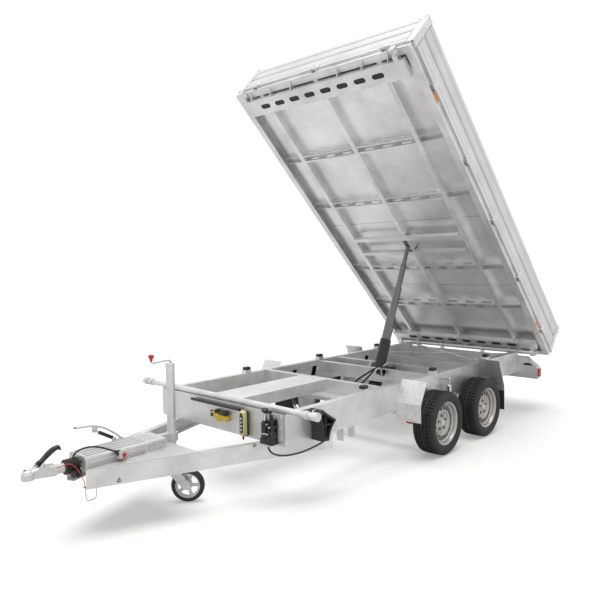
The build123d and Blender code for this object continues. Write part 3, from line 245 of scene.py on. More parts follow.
def moulded(name, color, roughness=0.5, metallic=0.0, relief=0.1, grain_scale=400.0, patches=()):
    """A moulded or painted finish. Each patch is a place, then its own colour and metallic."""
    material, sh, surface = new_material(name)
    grain = sh.group(FINE_GRAIN, Scale=grain_scale, Gloss_Low=roughness - 0.07,
                     Gloss_High=roughness + 0.07)
    sh.give(surface.inputs["Roughness"], grain.outputs["Roughness"])
    surface.inputs["Base Color"].default_value = (*color, 1.0)
    surface.inputs["Metallic"].default_value = metallic
    tint, metal = (*color, 1.0), metallic
    for (kind, where, size), patch_color, patch_metallic in patches:
        if kind == "near":
            mask = sh.group(NEAR_POINT, Centre=where, Radius=size).outputs["Mask"]
        else:
            mask = sh.group(BEYOND_PLANE, Direction=where, Distance=size).outputs["Mask"]
        tint = sh.add("ShaderNodeMix", {"Factor": mask, "A": tint, "B": (*patch_color, 1.0)},
                      data_type="RGBA").outputs["Result"]
        metal = sh.add("ShaderNodeMix", {"Factor": mask, "A": metal, "B": patch_metallic},
                       data_type="FLOAT").outputs["Result"]
    if patches:
        sh.give(surface.inputs["Base Color"], tint)
        sh.give(surface.inputs["Metallic"], metal)
    bump = sh.add("ShaderNodeBump", {"Strength": relief, "Distance": 0.0004,
                                     "Height": grain.outputs["Height"]})
    sh.give(surface.inputs["Normal"], bump.outputs["Normal"])
    return material


def floor_sheet_zinc():
    """The bed floor's zinc, with big soft clouds and the seams between its sheets."""
    material = zinc("floor_zinc", 0.62, 0.88, crystals=0.10, cloud_scale=2.2, smooth=0.30, rough=0.35,
                    relief=0.006)
    sh = Shader(material.node_tree)
    surface = material.node_tree.nodes["Principled BSDF"]
    turned_back = sh.add("ShaderNodeMapping", {"Vector": sh.place(), "Location": PIVOT,
                                               "Rotation": (0.0, -TIP, 0.0)}, vector_type="TEXTURE")
    along = sh.add("ShaderNodeSeparateXYZ", {"Vector": turned_back.outputs["Vector"]}).outputs["X"]
    repeat = sh.add("ShaderNodeMath", operation="PINGPONG")
    sh.give(repeat.inputs[0], along)
    repeat.inputs[1].default_value = 0.46
    seam = sh.add("ShaderNodeMath", operation="LESS_THAN")
    sh.give(seam.inputs[0], repeat.outputs["Value"])
    seam.inputs[1].default_value = 0.002
    plain_color = surface.inputs["Base Color"].links[0].from_socket
    shade = sh.add("ShaderNodeMix", {"Factor": seam.outputs["Value"], "A": plain_color,
                                     "B": grey(0.16)}, data_type="RGBA")
    sh.give(surface.inputs["Base Color"], shade.outputs["Result"])
    return material


def plank_aluminium():
    """Drawn aluminium planks: long fine streaks along the bed, mixed with soft clouds."""
    material, sh, surface = new_material("plank_aluminium")
    turned_back = sh.add("ShaderNodeMapping", {"Vector": sh.place(), "Location": PIVOT,
                                               "Rotation": (0.0, -TIP, 0.0),
                                               "Scale": (1.6, 0.012, 0.012)}, vector_type="TEXTURE")
    streaks = sh.add("ShaderNodeTexNoise", {"Vector": turned_back.outputs["Vector"], "Scale": 3.0,
                                            "Detail": 4.0})
    clouds = sh.add("ShaderNodeTexNoise", {"Vector": sh.place(), "Scale": 3.0, "Detail": 3.0})
    both = sh.add("ShaderNodeMix", {"Factor": 0.45, "A": streaks.outputs["Fac"],
                                    "B": clouds.outputs["Fac"]}, data_type="FLOAT")
    spread = sh.add("ShaderNodeMapRange", {"Value": both.outputs["Result"], "From Min": 0.35,
                                           "From Max": 0.65})
    color = sh.add("ShaderNodeMix", {"Factor": spread.outputs["Result"], "A": grey(0.60),
                                     "B": grey(0.76)}, data_type="RGBA")
    sh.give(surface.inputs["Base Color"], color.outputs["Result"])
    gloss = sh.add("ShaderNodeMapRange", {"Value": streaks.outputs["Fac"], "To Min": 0.3,
                                          "To Max": 0.46})
    sh.give(surface.inputs["Roughness"], gloss.outputs["Result"])
    surface.inputs["Metallic"].default_value = 0.8
    bump = sh.add("ShaderNodeBump", {"Strength": 0.08, "Distance": 0.0004,
                                     "Height": streaks.outputs["Fac"]})
    sh.give(surface.inputs["Normal"], bump.outputs["Normal"])
    return material


def rail_zinc_painted_inner_shade():
    """The rails' zinc, with painted shade: near black on the walls' inner sides, behind the holes."""
    material = zinc("rail_zinc", 0.60, 0.80, crystals=0.2, relief=0.03)
    sh = Shader(material.node_tree)
    surface = material.node_tree.nodes["Principled BSDF"]
    place = sh.add("ShaderNodeSeparateXYZ", {"Vector": sh.place()})
    out = sh.add("ShaderNodeMath", operation="ABSOLUTE")
    sh.give(out.inputs[0], place.outputs["Y"])
    middle = sh.add("ShaderNodeMath", operation="COMPARE")
    for socket, value in zip(middle.inputs, (out.outputs["Value"], 0.650, 0.0263)):
        sh.give(socket, value)
    below = sh.add("ShaderNodeMath", operation="LESS_THAN")
    sh.give(below.inputs[0], place.outputs["Z"])
    below.inputs[1].default_value = 0.1925
    inside = sh.add("ShaderNodeMath", operation="MULTIPLY")
    sh.give(inside.inputs[0], middle.outputs["Value"])
    sh.give(inside.inputs[1], below.outputs["Value"])
    # Painted shade: the inner faces of the rails' walls, below their top, go near black where they lie
    # in shade.
    plain_color = surface.inputs["Base Color"].links[0].from_socket
    shade = sh.add("ShaderNodeMix", {"Factor": inside.outputs["Value"], "A": plain_color,
                                     "B": grey(0.10)}, data_type="RGBA")
    sh.give(surface.inputs["Base Color"], shade.outputs["Result"])
    return material


chassis_zinc = zinc("chassis_zinc", 0.60, 0.80, crystals=0.2, relief=0.03)
rail_zinc = rail_zinc_painted_inner_shade()
bed_zinc = zinc("bed_zinc", 0.62, 0.84, crystals=0.15, cloud_scale=4.0, relief=0.03)
guard_zinc = zinc("guard_zinc", 0.62, 0.86, crystals=0.6, crystal_scale=70.0, smooth=0.3)
cast_zinc = zinc("cast_zinc", 0.56, 0.68, crystals=0.5, crystal_scale=500.0, cloud_scale=12.0,
                 metallic=0.55, smooth=0.4, rough=0.55, relief=0.3)
white_zinc = zinc("white_zinc", 0.66, 0.78, crystals=0.4, crystal_scale=300.0, metallic=0.3,
                  smooth=0.4, rough=0.5)
floor_zinc = floor_sheet_zinc()
wall_aluminium = plank_aluminium()
rubber = moulded("rubber", (0.022, 0.022, 0.022), 0.6)
tyre_rubber = moulded("tyre_rubber", (0.022, 0.021, 0.022), 0.68, relief=0.25, grain_scale=700.0)
black_plastic = moulded("black_plastic", (0.015, 0.015, 0.016), 0.42)
black_paint = moulded("black_paint", (0.014, 0.014, 0.016), 0.28)
ram_grey = moulded("ram_grey", (0.17, 0.172, 0.178), 0.2, metallic=0.75, relief=0.03)
rim_silver = moulded("rim_silver", (0.50, 0.485, 0.465), 0.36, metallic=0.55, relief=0.05)
bolt_dark = moulded("bolt_dark", (0.22, 0.22, 0.225), 0.4, metallic=0.6)
drum_grey = moulded("drum_grey", (0.09, 0.09, 0.092), 0.5, metallic=0.3)
red_lens = moulded("red_lens", (0.45, 0.01, 0.01), 0.15, relief=0.0)
amber_lens = moulded("amber_lens", (0.75, 0.22, 0.01), 0.15, relief=0.0)
red_plastic = moulded("red_plastic", (0.62, 0.02, 0.02), 0.35)
yellow_plastic = moulded("yellow_plastic", (0.72, 0.52, 0.03), 0.4)
beige_plastic = moulded("beige_plastic", (0.72, 0.64, 0.30), 0.45)
button_white = moulded("button_white", (0.8, 0.8, 0.78), 0.4)
steel_rod = moulded("steel_rod", (0.62, 0.62, 0.63), 0.22, metallic=0.9, relief=0.02)
tow_head_zinc = zinc("tow_head_zinc", 0.62, 0.74, crystals=0.5, crystal_scale=500.0, metallic=0.45,
                     smooth=0.4, rough=0.5, relief=0.3)
brake_lever_zinc = moulded("brake_lever_zinc", (0.6, 0.6, 0.61), 0.3, metallic=0.8, patches=(
    (near((-0.330, -0.106, 0.184), 0.012), (0.6, 0.02, 0.02), 0.0),))
strut_black = moulded("strut_black", (0.012, 0.012, 0.02), 0.3, patches=(
    (beyond((-0.499, 0.0, 0.121), (0.863, 0.0, 0.505)), (0.6, 0.6, 0.61), 0.85),))
crank_steel = moulded("crank_steel", (0.6, 0.6, 0.61), 0.3, metallic=0.85, patches=(
    (near((-0.816, 0.0, 0.565), 0.027), (0.62, 0.02, 0.02), 0.0),))


def dress(material, *names):
    """Gives CAD nodes a material."""
    for name in names:
        mesh = nodes[name].data
        mesh.materials.clear()
        mesh.materials.append(material)


dress(rail_zinc, "side_rails")
dress(chassis_zinc, "front_crossbeam", "chassis_crossmembers", "rear_crossbeam",
      "tipping_tubes", "rail_brackets", "drawbar_beams", "jockey_tube", "jockey_leg", "jockey_fork",
      "axles")
dress(cast_zinc, "overrun_housing", "cylinder_gimbal")
dress(tow_head_zinc, "coupling_head")
dress(bed_zinc, "bed_frame", "lift_crossbeams", "bed_stringers", "bed_crossmembers", "receiver_beams",
      "corner_posts", "wall_hinges", "bed_latches")
dress(guard_zinc, "mudguards")
dress(floor_zinc, "bed_floor")
dress(wall_aluminium, "dropside_left", "dropside_right", "front_wall", "tailgate")
dress(rubber, "bed_rest_pads", "mud_flaps", "drawbar_bellows", "wheel_chock", "jockey_wheel")
dress(tyre_rubber, "tyre_front_left", "tyre_front_right", "tyre_rear_left", "tyre_rear_right")
dress(black_plastic, "coupling_handle", "trailer_plug")
dress(black_paint, "pump_bar", "cylinder_barrel", "cylinder_stage_1", "hand_pump", "control_units")
dress(ram_grey, "cylinder_stage_2", "cylinder_stage_3", "cylinder_stage_4", "cylinder_stage_5")
dress(rim_silver, "rim_front_left", "rim_front_right", "rim_rear_left", "rim_rear_right")
dress(red_lens, "tail_lamps")
dress(amber_lens, "side_markers")
dress(brake_lever_zinc, "handbrake_lever")
dress(strut_black, "handbrake_strut")
dress(crank_steel, "jockey_crank")


# Cords
def cord_curve(name, points_mm, radius, material):
    data = bpy.data.curves.new(name, "CURVE")
    data.dimensions = "3D"
    data.bevel_depth = radius
    data.bevel_resolution = 4
    data.use_fill_caps = True
    data.resolution_u = 12
    spline = data.splines.new("NURBS")
    spline.points.add(len(points_mm) - 1)
    for point, (x, y, z) in zip(spline.points, points_mm):
        point.co = (x / 1000, y / 1000, z / 1000, 1.0)
    spline.order_u = 3
    spline.use_endpoint_u = True
    data.materials.append(material)
    curve = bpy.data.objects.new(name, data)
    scene.collection.objects.link(curve)
    return curve


CABLE = ((-292, 60, 26), (-268, 60, 26), (-243, 63, 40), (-232, 67, 65), (-243, 73, 90),
         (-275, 80, 106), (-318, 89, 111), (-362, 99, 104), (-403, 108, 89), (-440, 116, 71),
         (-468, 121, 55))
BREAKAWAY = ((-150, 30, 18), (-174, 30, 18), (-202, 42, 27), (-224, 56, 26), (-240, 66, 12),
             (-254, 75, -10), (-266, 83, -38), (-277, 90, -66), (-286, 95, -92), (-286, 95, -122))
HOSE = ((-1314, 560, -5), (-1314, 560, -30), (-1304, 588, -50), (-1300, 634, -58), (-1306, 676, -58),
        (-1330, 708, -57), (-1372, 722, -58), (-1430, 722, -62), (-1490, 718, -64), (-1560, 714, -62),
        (-1630, 712, -56), (-1690, 711, -46), (-1730, 710, -24), (-1748, 710, 4), (-1752, 706, 32),
        (-1752, 680, 32))
CORDS = (
    ("trailer_lead", "trailer_cable", CABLE, 0.0055, 0.349,
     rubber, "black_rubber", "medium", "connector"),
    ("breakaway_wire", "breakaway_cable", BREAKAWAY, 0.0025, 0.251,
     red_plastic, "red_sheath", "medium", "object"),
    ("pressure_hose", "hydraulic_hose", HOSE, 0.006, 0.677,
     rubber, "black_rubber", "stiff", "object"))
for name, node, route, radius, length, finish, slot, stiffness, far_end in CORDS:
    cord = cord_curve(name, route, radius, finish)
    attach(cord, "chassis")
    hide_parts(node)


# Shapes
def facing(point, direction=(0.0, 0.0, 1.0)):
    """A place whose Z runs along a direction."""
    turn = Vector(direction).to_track_quat("Z", "Y").to_matrix().to_4x4()
    return Matrix.Translation(point) @ turn


def cross_plane(x, y=0.0):
    """A place for outlines in the trailer's Y and Z, drawn out along its X."""
    return Matrix(((0, 0, 1, x), (1, 0, 0, y), (0, 1, 0, 0), (0, 0, 0, 1)))


def side_plane(y):
    """A place for outlines in the trailer's X and Z, drawn out along its Y."""
    return Matrix(((1, 0, 0, 0), (0, 0, 1, y), (0, 1, 0, 0), (0, 0, 0, 1)))


def on_bed(along, y, above, direction=(0.0, 0.0, 1.0)):
    """A place on the tipped bed, from its lowered one."""
    return BED @ facing((along, y, above), direction)


def turned(bm, line, place, steps=32):
    """Spins a line of (radius, height) points round a place's Z."""
    corners = [bm.verts.new(place @ Vector((radius, 0.0, height))) for radius, height in line]
    edges = [bm.edges.new(pair) for pair in zip(corners, corners[1:])]
    bmesh.ops.spin(bm, geom=corners + edges, cent=place.translation, axis=place.col[2].xyz,
                   angle=math.tau, steps=steps, use_merge=True, use_duplicate=False)


def disc(bm, place, outer, half, ease, inner=0.0, steps=24):
    """A disc or ring centred on a place, its outer edges eased over 1 mm by a height."""
    line = [(inner, -half), (outer - 0.001, -half), (outer, ease - half), (outer, half - ease),
            (outer - 0.001, half), (inner, half)]
    turned(bm, line + line[:1] if inner else line, place, steps)


def edges_of(verts):
    """The edges at some corners, each once and always in the same order."""
    return list(dict.fromkeys(e for v in verts for e in v.link_edges))


def block(bm, size, place, edge=0.002, segments=2):
    """A box with rounded edges, centred on a place."""
    made = bmesh.ops.create_cube(bm, size=1.0, matrix=place @ Matrix.Diagonal((*size, 1.0)))
    edges = edges_of(made["verts"])
    bmesh.ops.bevel(bm, geom=edges, offset=edge, offset_type="OFFSET", segments=segments, profile=0.5,
                    affect="EDGES", material=-1)


def prism(bm, outline, place, depth, edge=0.0015):
    """An outline in a place's XY, drawn out along its Z, with rounded edges."""
    corners = [bm.verts.new(place @ Vector((x, y, 0.0))) for x, y in outline]
    face = bm.faces.new(corners)
    grown = bmesh.ops.extrude_face_region(bm, geom=[face])["geom"]
    top = [v for v in grown if isinstance(v, bmesh.types.BMVert)]
    bmesh.ops.translate(bm, verts=top, vec=place.to_3x3() @ Vector((0.0, 0.0, depth)))
    if edge:
        rims = edges_of(corners + top)
        bmesh.ops.bevel(bm, geom=rims, offset=edge, offset_type="OFFSET", segments=2, profile=0.5,
                        affect="EDGES", material=-1)


def bent_rod(bm, points, radius, sides=12):
    """A rod through points, its ring halving each bend."""
    points = [Vector(p) for p in points]
    ways = [(b - a).normalized() for a, b in zip(points, points[1:])]
    turn = ways[0].to_track_quat("Z", "Y")
    rings = []
    for k, point in enumerate(points):
        before, after = ways[max(k - 1, 0)], ways[min(k, len(ways) - 1)]
        way = (before + after).normalized()
        turn = (turn @ Vector((0.0, 0.0, 1.0))).rotation_difference(way) @ turn
        place = Matrix.Translation(point) @ turn.to_matrix().to_4x4()
        ends = k in (0, len(points) - 1)
        made = bmesh.ops.create_circle(bm, cap_ends=ends, segments=sides, radius=radius, matrix=place)
        rings.append(edges_of(made["verts"]))
    for ring, following in zip(rings, rings[1:]):
        bmesh.ops.bridge_loops(bm, edges=ring + following)


def eased(points, radius, steps=5):
    """The points of a line with each corner rounded."""
    points = [Vector(p) for p in points]
    line = [points[0]]
    for before, corner, after in zip(points, points[1:], points[2:]):
        start = corner + (before - corner).normalized() * radius
        end = corner + (after - corner).normalized() * radius
        for k in range(steps + 1):
            t = k / steps
            line.append(start * (1 - t) ** 2 + corner * 2 * t * (1 - t) + end * t * t)
    return line + [points[-1]]


def hex_bolt(bm, point, direction, radius=0.009, washer=True):
    """A bolt head with its washer, seated on a point."""
    place = facing(point, direction)
    if washer:
        turned(bm, ((0.0, 0.0), (radius * 1.5, 0.0), (radius * 1.5, radius * 0.2), (0.0, radius * 0.2)),
               place, steps=16)
    made = bmesh.ops.create_cone(bm, cap_ends=True, segments=6, radius1=radius, radius2=radius,
                                 depth=radius * 0.8,
                                 matrix=place @ Matrix.Translation((0, 0, radius * 0.6)))
    top = max((f for v in made["verts"] for f in v.link_faces),
              key=lambda f: f.calc_center_median().dot(place.col[2].xyz))
    bmesh.ops.bevel(bm, geom=list(top.edges), offset=radius * 0.15, offset_type="OFFSET", segments=2,
                    profile=0.5, affect="EDGES", material=-1)


def rivet(bm, point, direction, radius=0.005):
    """A domed rivet head."""
    turned(bm, ((radius, 0.0), (radius * 0.85, radius * 0.35), (radius * 0.45, radius * 0.55),
                (0.0, radius * 0.6)), facing(point, direction), steps=10)


def piece(name, bm, material, body="chassis", sharp=35, replaces=None):
    """Makes an object of a bmesh with its material and body, in place of a node if named."""
    bmesh.ops.remove_doubles(bm, verts=bm.verts, dist=5e-6)
    bmesh.ops.recalc_face_normals(bm, faces=bm.faces)
    mesh = bpy.data.meshes.new(name)
    bm.to_mesh(mesh)
    bm.free()
    mesh.polygons.foreach_set("use_smooth", [True] * len(mesh.polygons))
    mesh.set_sharp_from_angle(angle=math.radians(sharp))
    mesh.materials.append(material)
    made = bpy.data.objects.new(name, mesh)
    scene.collection.objects.link(made)
    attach(made, body)
    if replaces:
        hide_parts(replaces)
    return made


def oval(x, y, length, width, steps=6):
    """The points of a slot with round ends, lying along X."""
    reach, radius = (length - width) / 2, width / 2
    turns = [math.pi * k / steps - math.pi / 2 for k in range(steps + 1)]
    ahead = [(x + reach + radius * math.cos(t), y + radius * math.sin(t)) for t in turns]
    return ahead + [(2 * x - a, 2 * y - b) for a, b in ahead]


def slotted_plate(bm, outline, holes, place, thickness):
    """An outline with holes in a place's XY, drawn out along its Z."""
    edges = []
    for loop in [outline, *holes]:
        corners = [bm.verts.new(place @ Vector((x, y, 0.0))) for x, y in loop]
        edges += [bm.edges.new(pair) for pair in zip(corners, corners[1:] + corners[:1])]
    filled = bmesh.ops.triangle_fill(bm, edges=edges, use_beauty=True, use_dissolve=False,
                                     normal=place.col[2].xyz)["geom"]
    faces = [g for g in filled if isinstance(g, bmesh.types.BMFace)]
    grown = bmesh.ops.extrude_face_region(bm, geom=faces)["geom"]
    bmesh.ops.translate(bm, verts=[g for g in grown if isinstance(g, bmesh.types.BMVert)],
                        vec=place.col[2].xyz * thickness)


def rectangle(x0, y0, x1, y1):
    return [(x0, y0), (x1, y0), (x1, y1), (x0, y1)]


# Bed: channels with oval holes, stringers, gussets and profiled walls, with the bed's own heights
FRAME_FRONT, FRAME_REAR, FRAME_HALF, FRAME_BOTTOM, FLOOR_UNDER = 3.542, -0.104, 0.930, 0.058, 0.118
FRAME_LENGTH, FRAME_MIDDLE = FRAME_FRONT - FRAME_REAR, (FRAME_FRONT + FRAME_REAR) / 2
STRINGER_Y, STRINGER_HALF = 0.640, 0.024
CROSS_FRONTS, CROSS_DEPTH = (2.790, 2.190, 1.270, 0.690), 0.060
HOLE_YS = (0.125, 0.320, 0.515)
SHEET = 0.003
# A stringer's folded section, from its left edge down and round
STRINGER_LINE = ((-0.0235, FLOOR_UNDER), (-0.0235, 0.0622), (-0.0222, 0.0592), (-0.0190, 0.0582),
                 (0.0190, 0.0582), (0.0222, 0.0592), (0.0235, 0.0622), (0.0235, FLOOR_UNDER),
                 (0.0205, FLOOR_UNDER), (0.0205, 0.0630), (0.0185, 0.0612), (-0.0185, 0.0612),
                 (-0.0205, 0.0630), (-0.0205, FLOOR_UNDER))


def bed_channels():
    """The crossmembers' sheets, the stringers, the receiver beams' gussets, and dark sheets of painted
    shade inside the receivers.
    """
    bm = bmesh.new()
    for front in CROSS_FRONTS:
        for x, sheet, lip in ((front, -SHEET, 0.010), (front - CROSS_DEPTH, SHEET, 0.014)):
            face = BED @ cross_plane(x)
            for side in (1, -1):
                start, end = sorted((side * STRINGER_HALF, side * (STRINGER_Y - STRINGER_HALF)))
                holes = [oval(side * y, 0.087, 0.104, 0.030) for y in HOLE_YS]
                slotted_plate(bm, rectangle(start, FRAME_BOTTOM + 0.0015, end, FLOOR_UNDER), holes,
                              face, sheet)
                root, tip = side * (STRINGER_Y + STRINGER_HALF), side * (FRAME_HALF - 0.050)
                tapered = [(root, FRAME_BOTTOM + 0.0015), (tip, 0.076), (tip, FLOOR_UNDER),
                           (root, FLOOR_UNDER)]
                slotted_plate(bm, tapered, [], face, sheet)
                prism(bm, rectangle(start, FRAME_BOTTOM + 0.0005, end, FRAME_BOTTOM + SHEET), face,
                      -lip, edge=0.0)
    piece("crossmember_sheets", bm, bed_zinc, "bed", sharp=30, replaces="bed_crossmembers")

    bm = bmesh.new()
    rear, front = FRAME_REAR + 0.051, FRAME_FRONT - 0.051
    for y, start, end in ((STRINGER_Y, rear, front), (-STRINGER_Y, rear, front), (0.0, rear, 1.470),
                          (0.0, 1.713, front)):
        slotted_plate(bm, STRINGER_LINE, [], BED @ cross_plane(start, y), end - start)
    piece("stringer_channels", bm, bed_zinc, "bed", sharp=25, replaces="bed_stringers")

    def gusset(y, *outline):
        prism(bm, outline, BED @ side_plane(y - SHEET), 2 * SHEET, edge=0.001)

    bm = bmesh.new()
    for y in (-0.744, -0.500, -0.256, 0.256, 0.500, 0.744):
        gusset(y, (3.4805, 0.010), (3.4805, 0.0575), (3.540, 0.0575), (3.540, 0.050), (3.492, 0.010))
    for y in (-STRINGER_Y, 0.0, STRINGER_Y):
        for along, reach in ((3.3285, -0.030), (0.1415, 0.030)):
            gusset(y, (along, 0.012), (along + reach, 0.0575), (along, 0.0575))
    piece("receiver_gussets", bm, bed_zinc, "bed")

    # Painted shade: dark rubber-coloured sheets laid inside the receiver beams, standing in for the
    # shade in their hollows.
    bm = bmesh.new()
    for start, end in ((3.340, 3.470), (0.060, 0.130)):
        block(bm, (end - start, 1.50, 0.007), on_bed((start + end) / 2, 0.0, 0.0165), edge=0.0015)
    piece("receiver_shade_sheets", bm, rubber, "bed")


# A wall plank's section, out and up from its inner bottom edge
WALL_LINE = ((0.0, 0.0), (0.0, 0.296), (0.004, 0.300), (0.022, 0.300), (0.0280, 0.293), (0.0280, 0.258),
             (0.0225, 0.254), (0.0225, 0.1760), (0.0190, 0.174), (0.0190, 0.167), (0.0245, 0.1650),
             (0.0245, 0.1560), (0.0155, 0.1530), (0.0155, 0.1340), (0.0245, 0.1310), (0.0245, 0.0500),
             (0.0215, 0.0480), (0.0215, 0.0440), (0.0245, 0.0420), (0.0245, 0.0))
POST, WALL_FOOT = 0.062, 0.127
SIDE_HINGES = (3.158, 2.442, 1.771, 1.031, 0.250)


def wall(name, node, body, origin, yaw, length, hinges):
    """A wall of drawn planks, on its inner bottom edge, with its straps and knuckles."""
    place = BED @ Matrix.Translation(origin) @ Matrix.Rotation(math.radians(yaw), 4, "Z")
    bm = bmesh.new()
    slotted_plate(bm, WALL_LINE, [], place @ cross_plane(-length / 2), length)
    piece(name + "_planks", bm, wall_aluminium, body, sharp=20, replaces=node)
    bm = bmesh.new()
    for along in hinges:
        strap = place @ Matrix.Translation((along, 0.027, 0.0))
        for tall, middle, wide in ((0.060, 0.028, 0.046), (0.026, -0.012, 0.044)):
            block(bm, (wide, 0.004, tall), strap @ Matrix.Translation((0, 0.0005, middle)), edge=0.001)
        knuckle = Matrix.Translation((-0.023, 0.011, -0.023)) @ Matrix.Rotation(math.pi / 2, 4, "Y")
        turned(bm, ((0.0042, 0.0), (0.0090, 0.0), (0.0100, 0.0010), (0.0100, 0.0145), (0.0092, 0.0155),
                    (0.0100, 0.0165), (0.0100, 0.0300), (0.0092, 0.0310), (0.0100, 0.0320),
                    (0.0100, 0.0450), (0.0090, 0.0460), (0.0042, 0.0460), (0.0042, 0.0)),
               strap @ knuckle, steps=24)
        for x, z in itertools.product((-0.012, 0.012), (0.022, 0.046)):
            rivet(bm, strap @ Vector((x, 0.0025, z)), place.col[1].xyz, radius=0.0045)
    piece(name + "_straps", bm, bed_zinc, body)


def walls():
    """The two dropsides and the front wall."""
    length = BED_FRONT - BED_REAR - 2 * POST - 0.012
    middle = (BED_FRONT + BED_REAR) / 2
    inner = BED_HALF - 0.025
    spots = [along - middle for along in SIDE_HINGES]
    wall("left_wall", "dropside_left", "left_wall", (middle, inner, WALL_FOOT), 0, length, spots)
    wall("right_wall", "dropside_right", "right_wall", (middle, -inner, WALL_FOOT), 180, length,
         [-spot for spot in spots])
    wall("front_wall", "front_wall", "front_wall", (BED_FRONT - 0.025, 0.0, WALL_FOOT), -90,
         2 * (BED_HALF - POST - 0.006), (-0.700, 0.0, 0.700))


def frame_edges():
    """The flanges at the top and bottom of the bed's outer frame."""
    bm = bmesh.new()
    length = FRAME_LENGTH - 0.004
    flanges = (0.0598, 0.1155)
    for side in (1, -1):
        for above in flanges:
            block(bm, (length, 0.0105, 0.0036),
                  on_bed(FRAME_MIDDLE, side * (FRAME_HALF + 0.0052), above), edge=0.001)
        block(bm, (length, 0.0035, 0.0100), on_bed(FRAME_MIDDLE, side * (FRAME_HALF + 0.0090), 0.0640),
              edge=0.001)
    for above in flanges:
        block(bm, (0.0105, 2 * FRAME_HALF - 0.004, 0.0036), on_bed(FRAME_FRONT + 0.0052, 0.0, above),
              edge=0.001)
    piece("frame_edges", bm, bed_zinc, "bed")


def corner_latches():
    """The latches on the corner posts' heads, and the tailgate's locks with their rings."""
    bm = bmesh.new()
    for along, side in itertools.product((BED_FRONT - POST / 2, BED_REAR + POST / 2), (1, -1)):
        y = side * (BED_HALF - POST / 2)
        block(bm, (0.066, 0.066, 0.005), on_bed(along, y, 0.4300), edge=0.0015)
        ear = [(y - 0.015, 0.432), (y + 0.015, 0.432), (y + 0.015, 0.452), (y + 0.008, 0.461),
               (y - 0.008, 0.461), (y - 0.015, 0.452)]
        for back in (-0.029, 0.023):
            slotted_plate(bm, ear, [oval(y, 0.448, 0.0122, 0.012)], BED @ cross_plane(along + back),
                          0.006)
        turned(bm, ((0.0, 0.0), (0.0085, 0.0), (0.0085, 0.004), (0.0058, 0.005), (0.0058, 0.062),
                    (0.0085, 0.063), (0.0085, 0.067), (0.0, 0.067)),
               on_bed(along - 0.0335, y, 0.448, (1.0, 0.0, 0.0)), steps=20)
        disc(bm, on_bed(along, y, 0.448, (1.0, 0.0, 0.0)), 0.013, 0.011, 0.002)
    piece("latch_parts", bm, white_zinc, "bed", replaces="bed_latches")
    bm = bmesh.new()
    for height, side in itertools.product((0.147, 0.407), (1, -1)):
        place = on_bed(BED_REAR - 0.0215, side * (BED_HALF - POST / 2), height)
        for above in (0.014, -0.014):
            block(bm, (0.043, 0.042, 0.006), place @ Matrix.Translation((0, 0, above)))
        disc(bm, facing(place.translation, (0.0, 1.0, 0.0)), 0.0175, 0.0215, 0.0025, inner=0.0088,
             steps=28)
    for side, above in itertools.product((1, -1), (0.458, 0.196)):
        ring = [(-0.132 + 0.017 * math.cos(t), side * (BED_HALF - 0.010), above + 0.017 * math.sin(t))
                for t in (math.tau * k / 14 for k in range(15))]
        bent_rod(bm, [BED @ Vector(p) for p in ring], 0.0022, sides=8)
    piece("gate_locks", bm, white_zinc, "bed")


def chassis_rods():
    """The crossed rods at the rear, and the damper by each front wheel."""
    bm = bmesh.new()
    for side, back_z, front_z in ((-1, 0.180, 0.172), (1, 0.168, 0.160)):
        start, end = Vector((-4.862, side * 0.600, back_z)), Vector((-4.200, side * -0.590, front_z))
        bent_rod(bm, (start, start.lerp(end, 0.5), end), 0.006, sides=16)
        for spot in (start, end):
            disc(bm, facing(spot), 0.017, 0.008, 0.002)
    piece("crossed_rods", bm, steel_rod)
    bm = bmesh.new()
    x = -3.322
    for side in (1, -1):
        y = side * 0.736
        turned(bm, ((0.0, 0.010), (0.021, 0.010), (0.024, 0.013), (0.024, 0.088), (0.021, 0.092),
                    (0.0075, 0.094), (0.0075, 0.138), (0.0, 0.139)), facing((x, y, 0.0)), steps=28)
        for z in (0.000, 0.143):
            turned(bm, ((0.0, 0.0), (0.008, 0.0), (0.008, 0.060), (0.013, 0.060), (0.013, 0.068),
                        (0.0, 0.070)), facing((x, side * 0.680, z), (0.0, side, 0.0)), steps=20)
            disc(bm, facing((x, y, z), (0.0, 1.0, 0.0)), 0.014, 0.009, 0.003)
    piece("dampers", bm, steel_rod)


def tube_cap():
    """The cap on the jockey tube."""
    bm = bmesh.new()
    turned(bm, ((0.0292, 0.494), (0.0312, 0.496), (0.0312, 0.507), (0.0280, 0.5115), (0.0, 0.512)),
           facing((JOCKEY_X, 0.0, 0.0)), steps=40)
    piece("jockey_tube_cap", bm, white_zinc)


def guard_reflectors():
    """The red reflectors ahead of the mudguards."""
    bm = bmesh.new()
    for side in (1, -1):
        block(bm, (0.010, 0.056, 0.018), facing((-2.606, side * 0.800, -0.085)), edge=0.003)
    piece("guard_reflectors", bm, red_lens)


def beam_slots():
    """The dark grommets in the rear crossbeam."""
    bm = bmesh.new()
    for side in (1, -1):
        arch = [(side * (0.785 + 0.050 * math.cos(t)), 0.064 + 0.026 * math.sin(t))
                for t in (math.pi * k / 14 for k in range(15))]
        prism(bm, arch, cross_plane(-4.8600), 0.0035, edge=0.0008)
    piece("beam_grommets", bm, rubber)


# Tyres: a wedge of tread blocks, repeated round the wheel
TREAD_WEDGES = 54
RIBS = ((-0.0755, -0.0485), (-0.0395, -0.0195), (-0.0105, 0.0105), (0.0195, 0.0395), (0.0485, 0.0755))


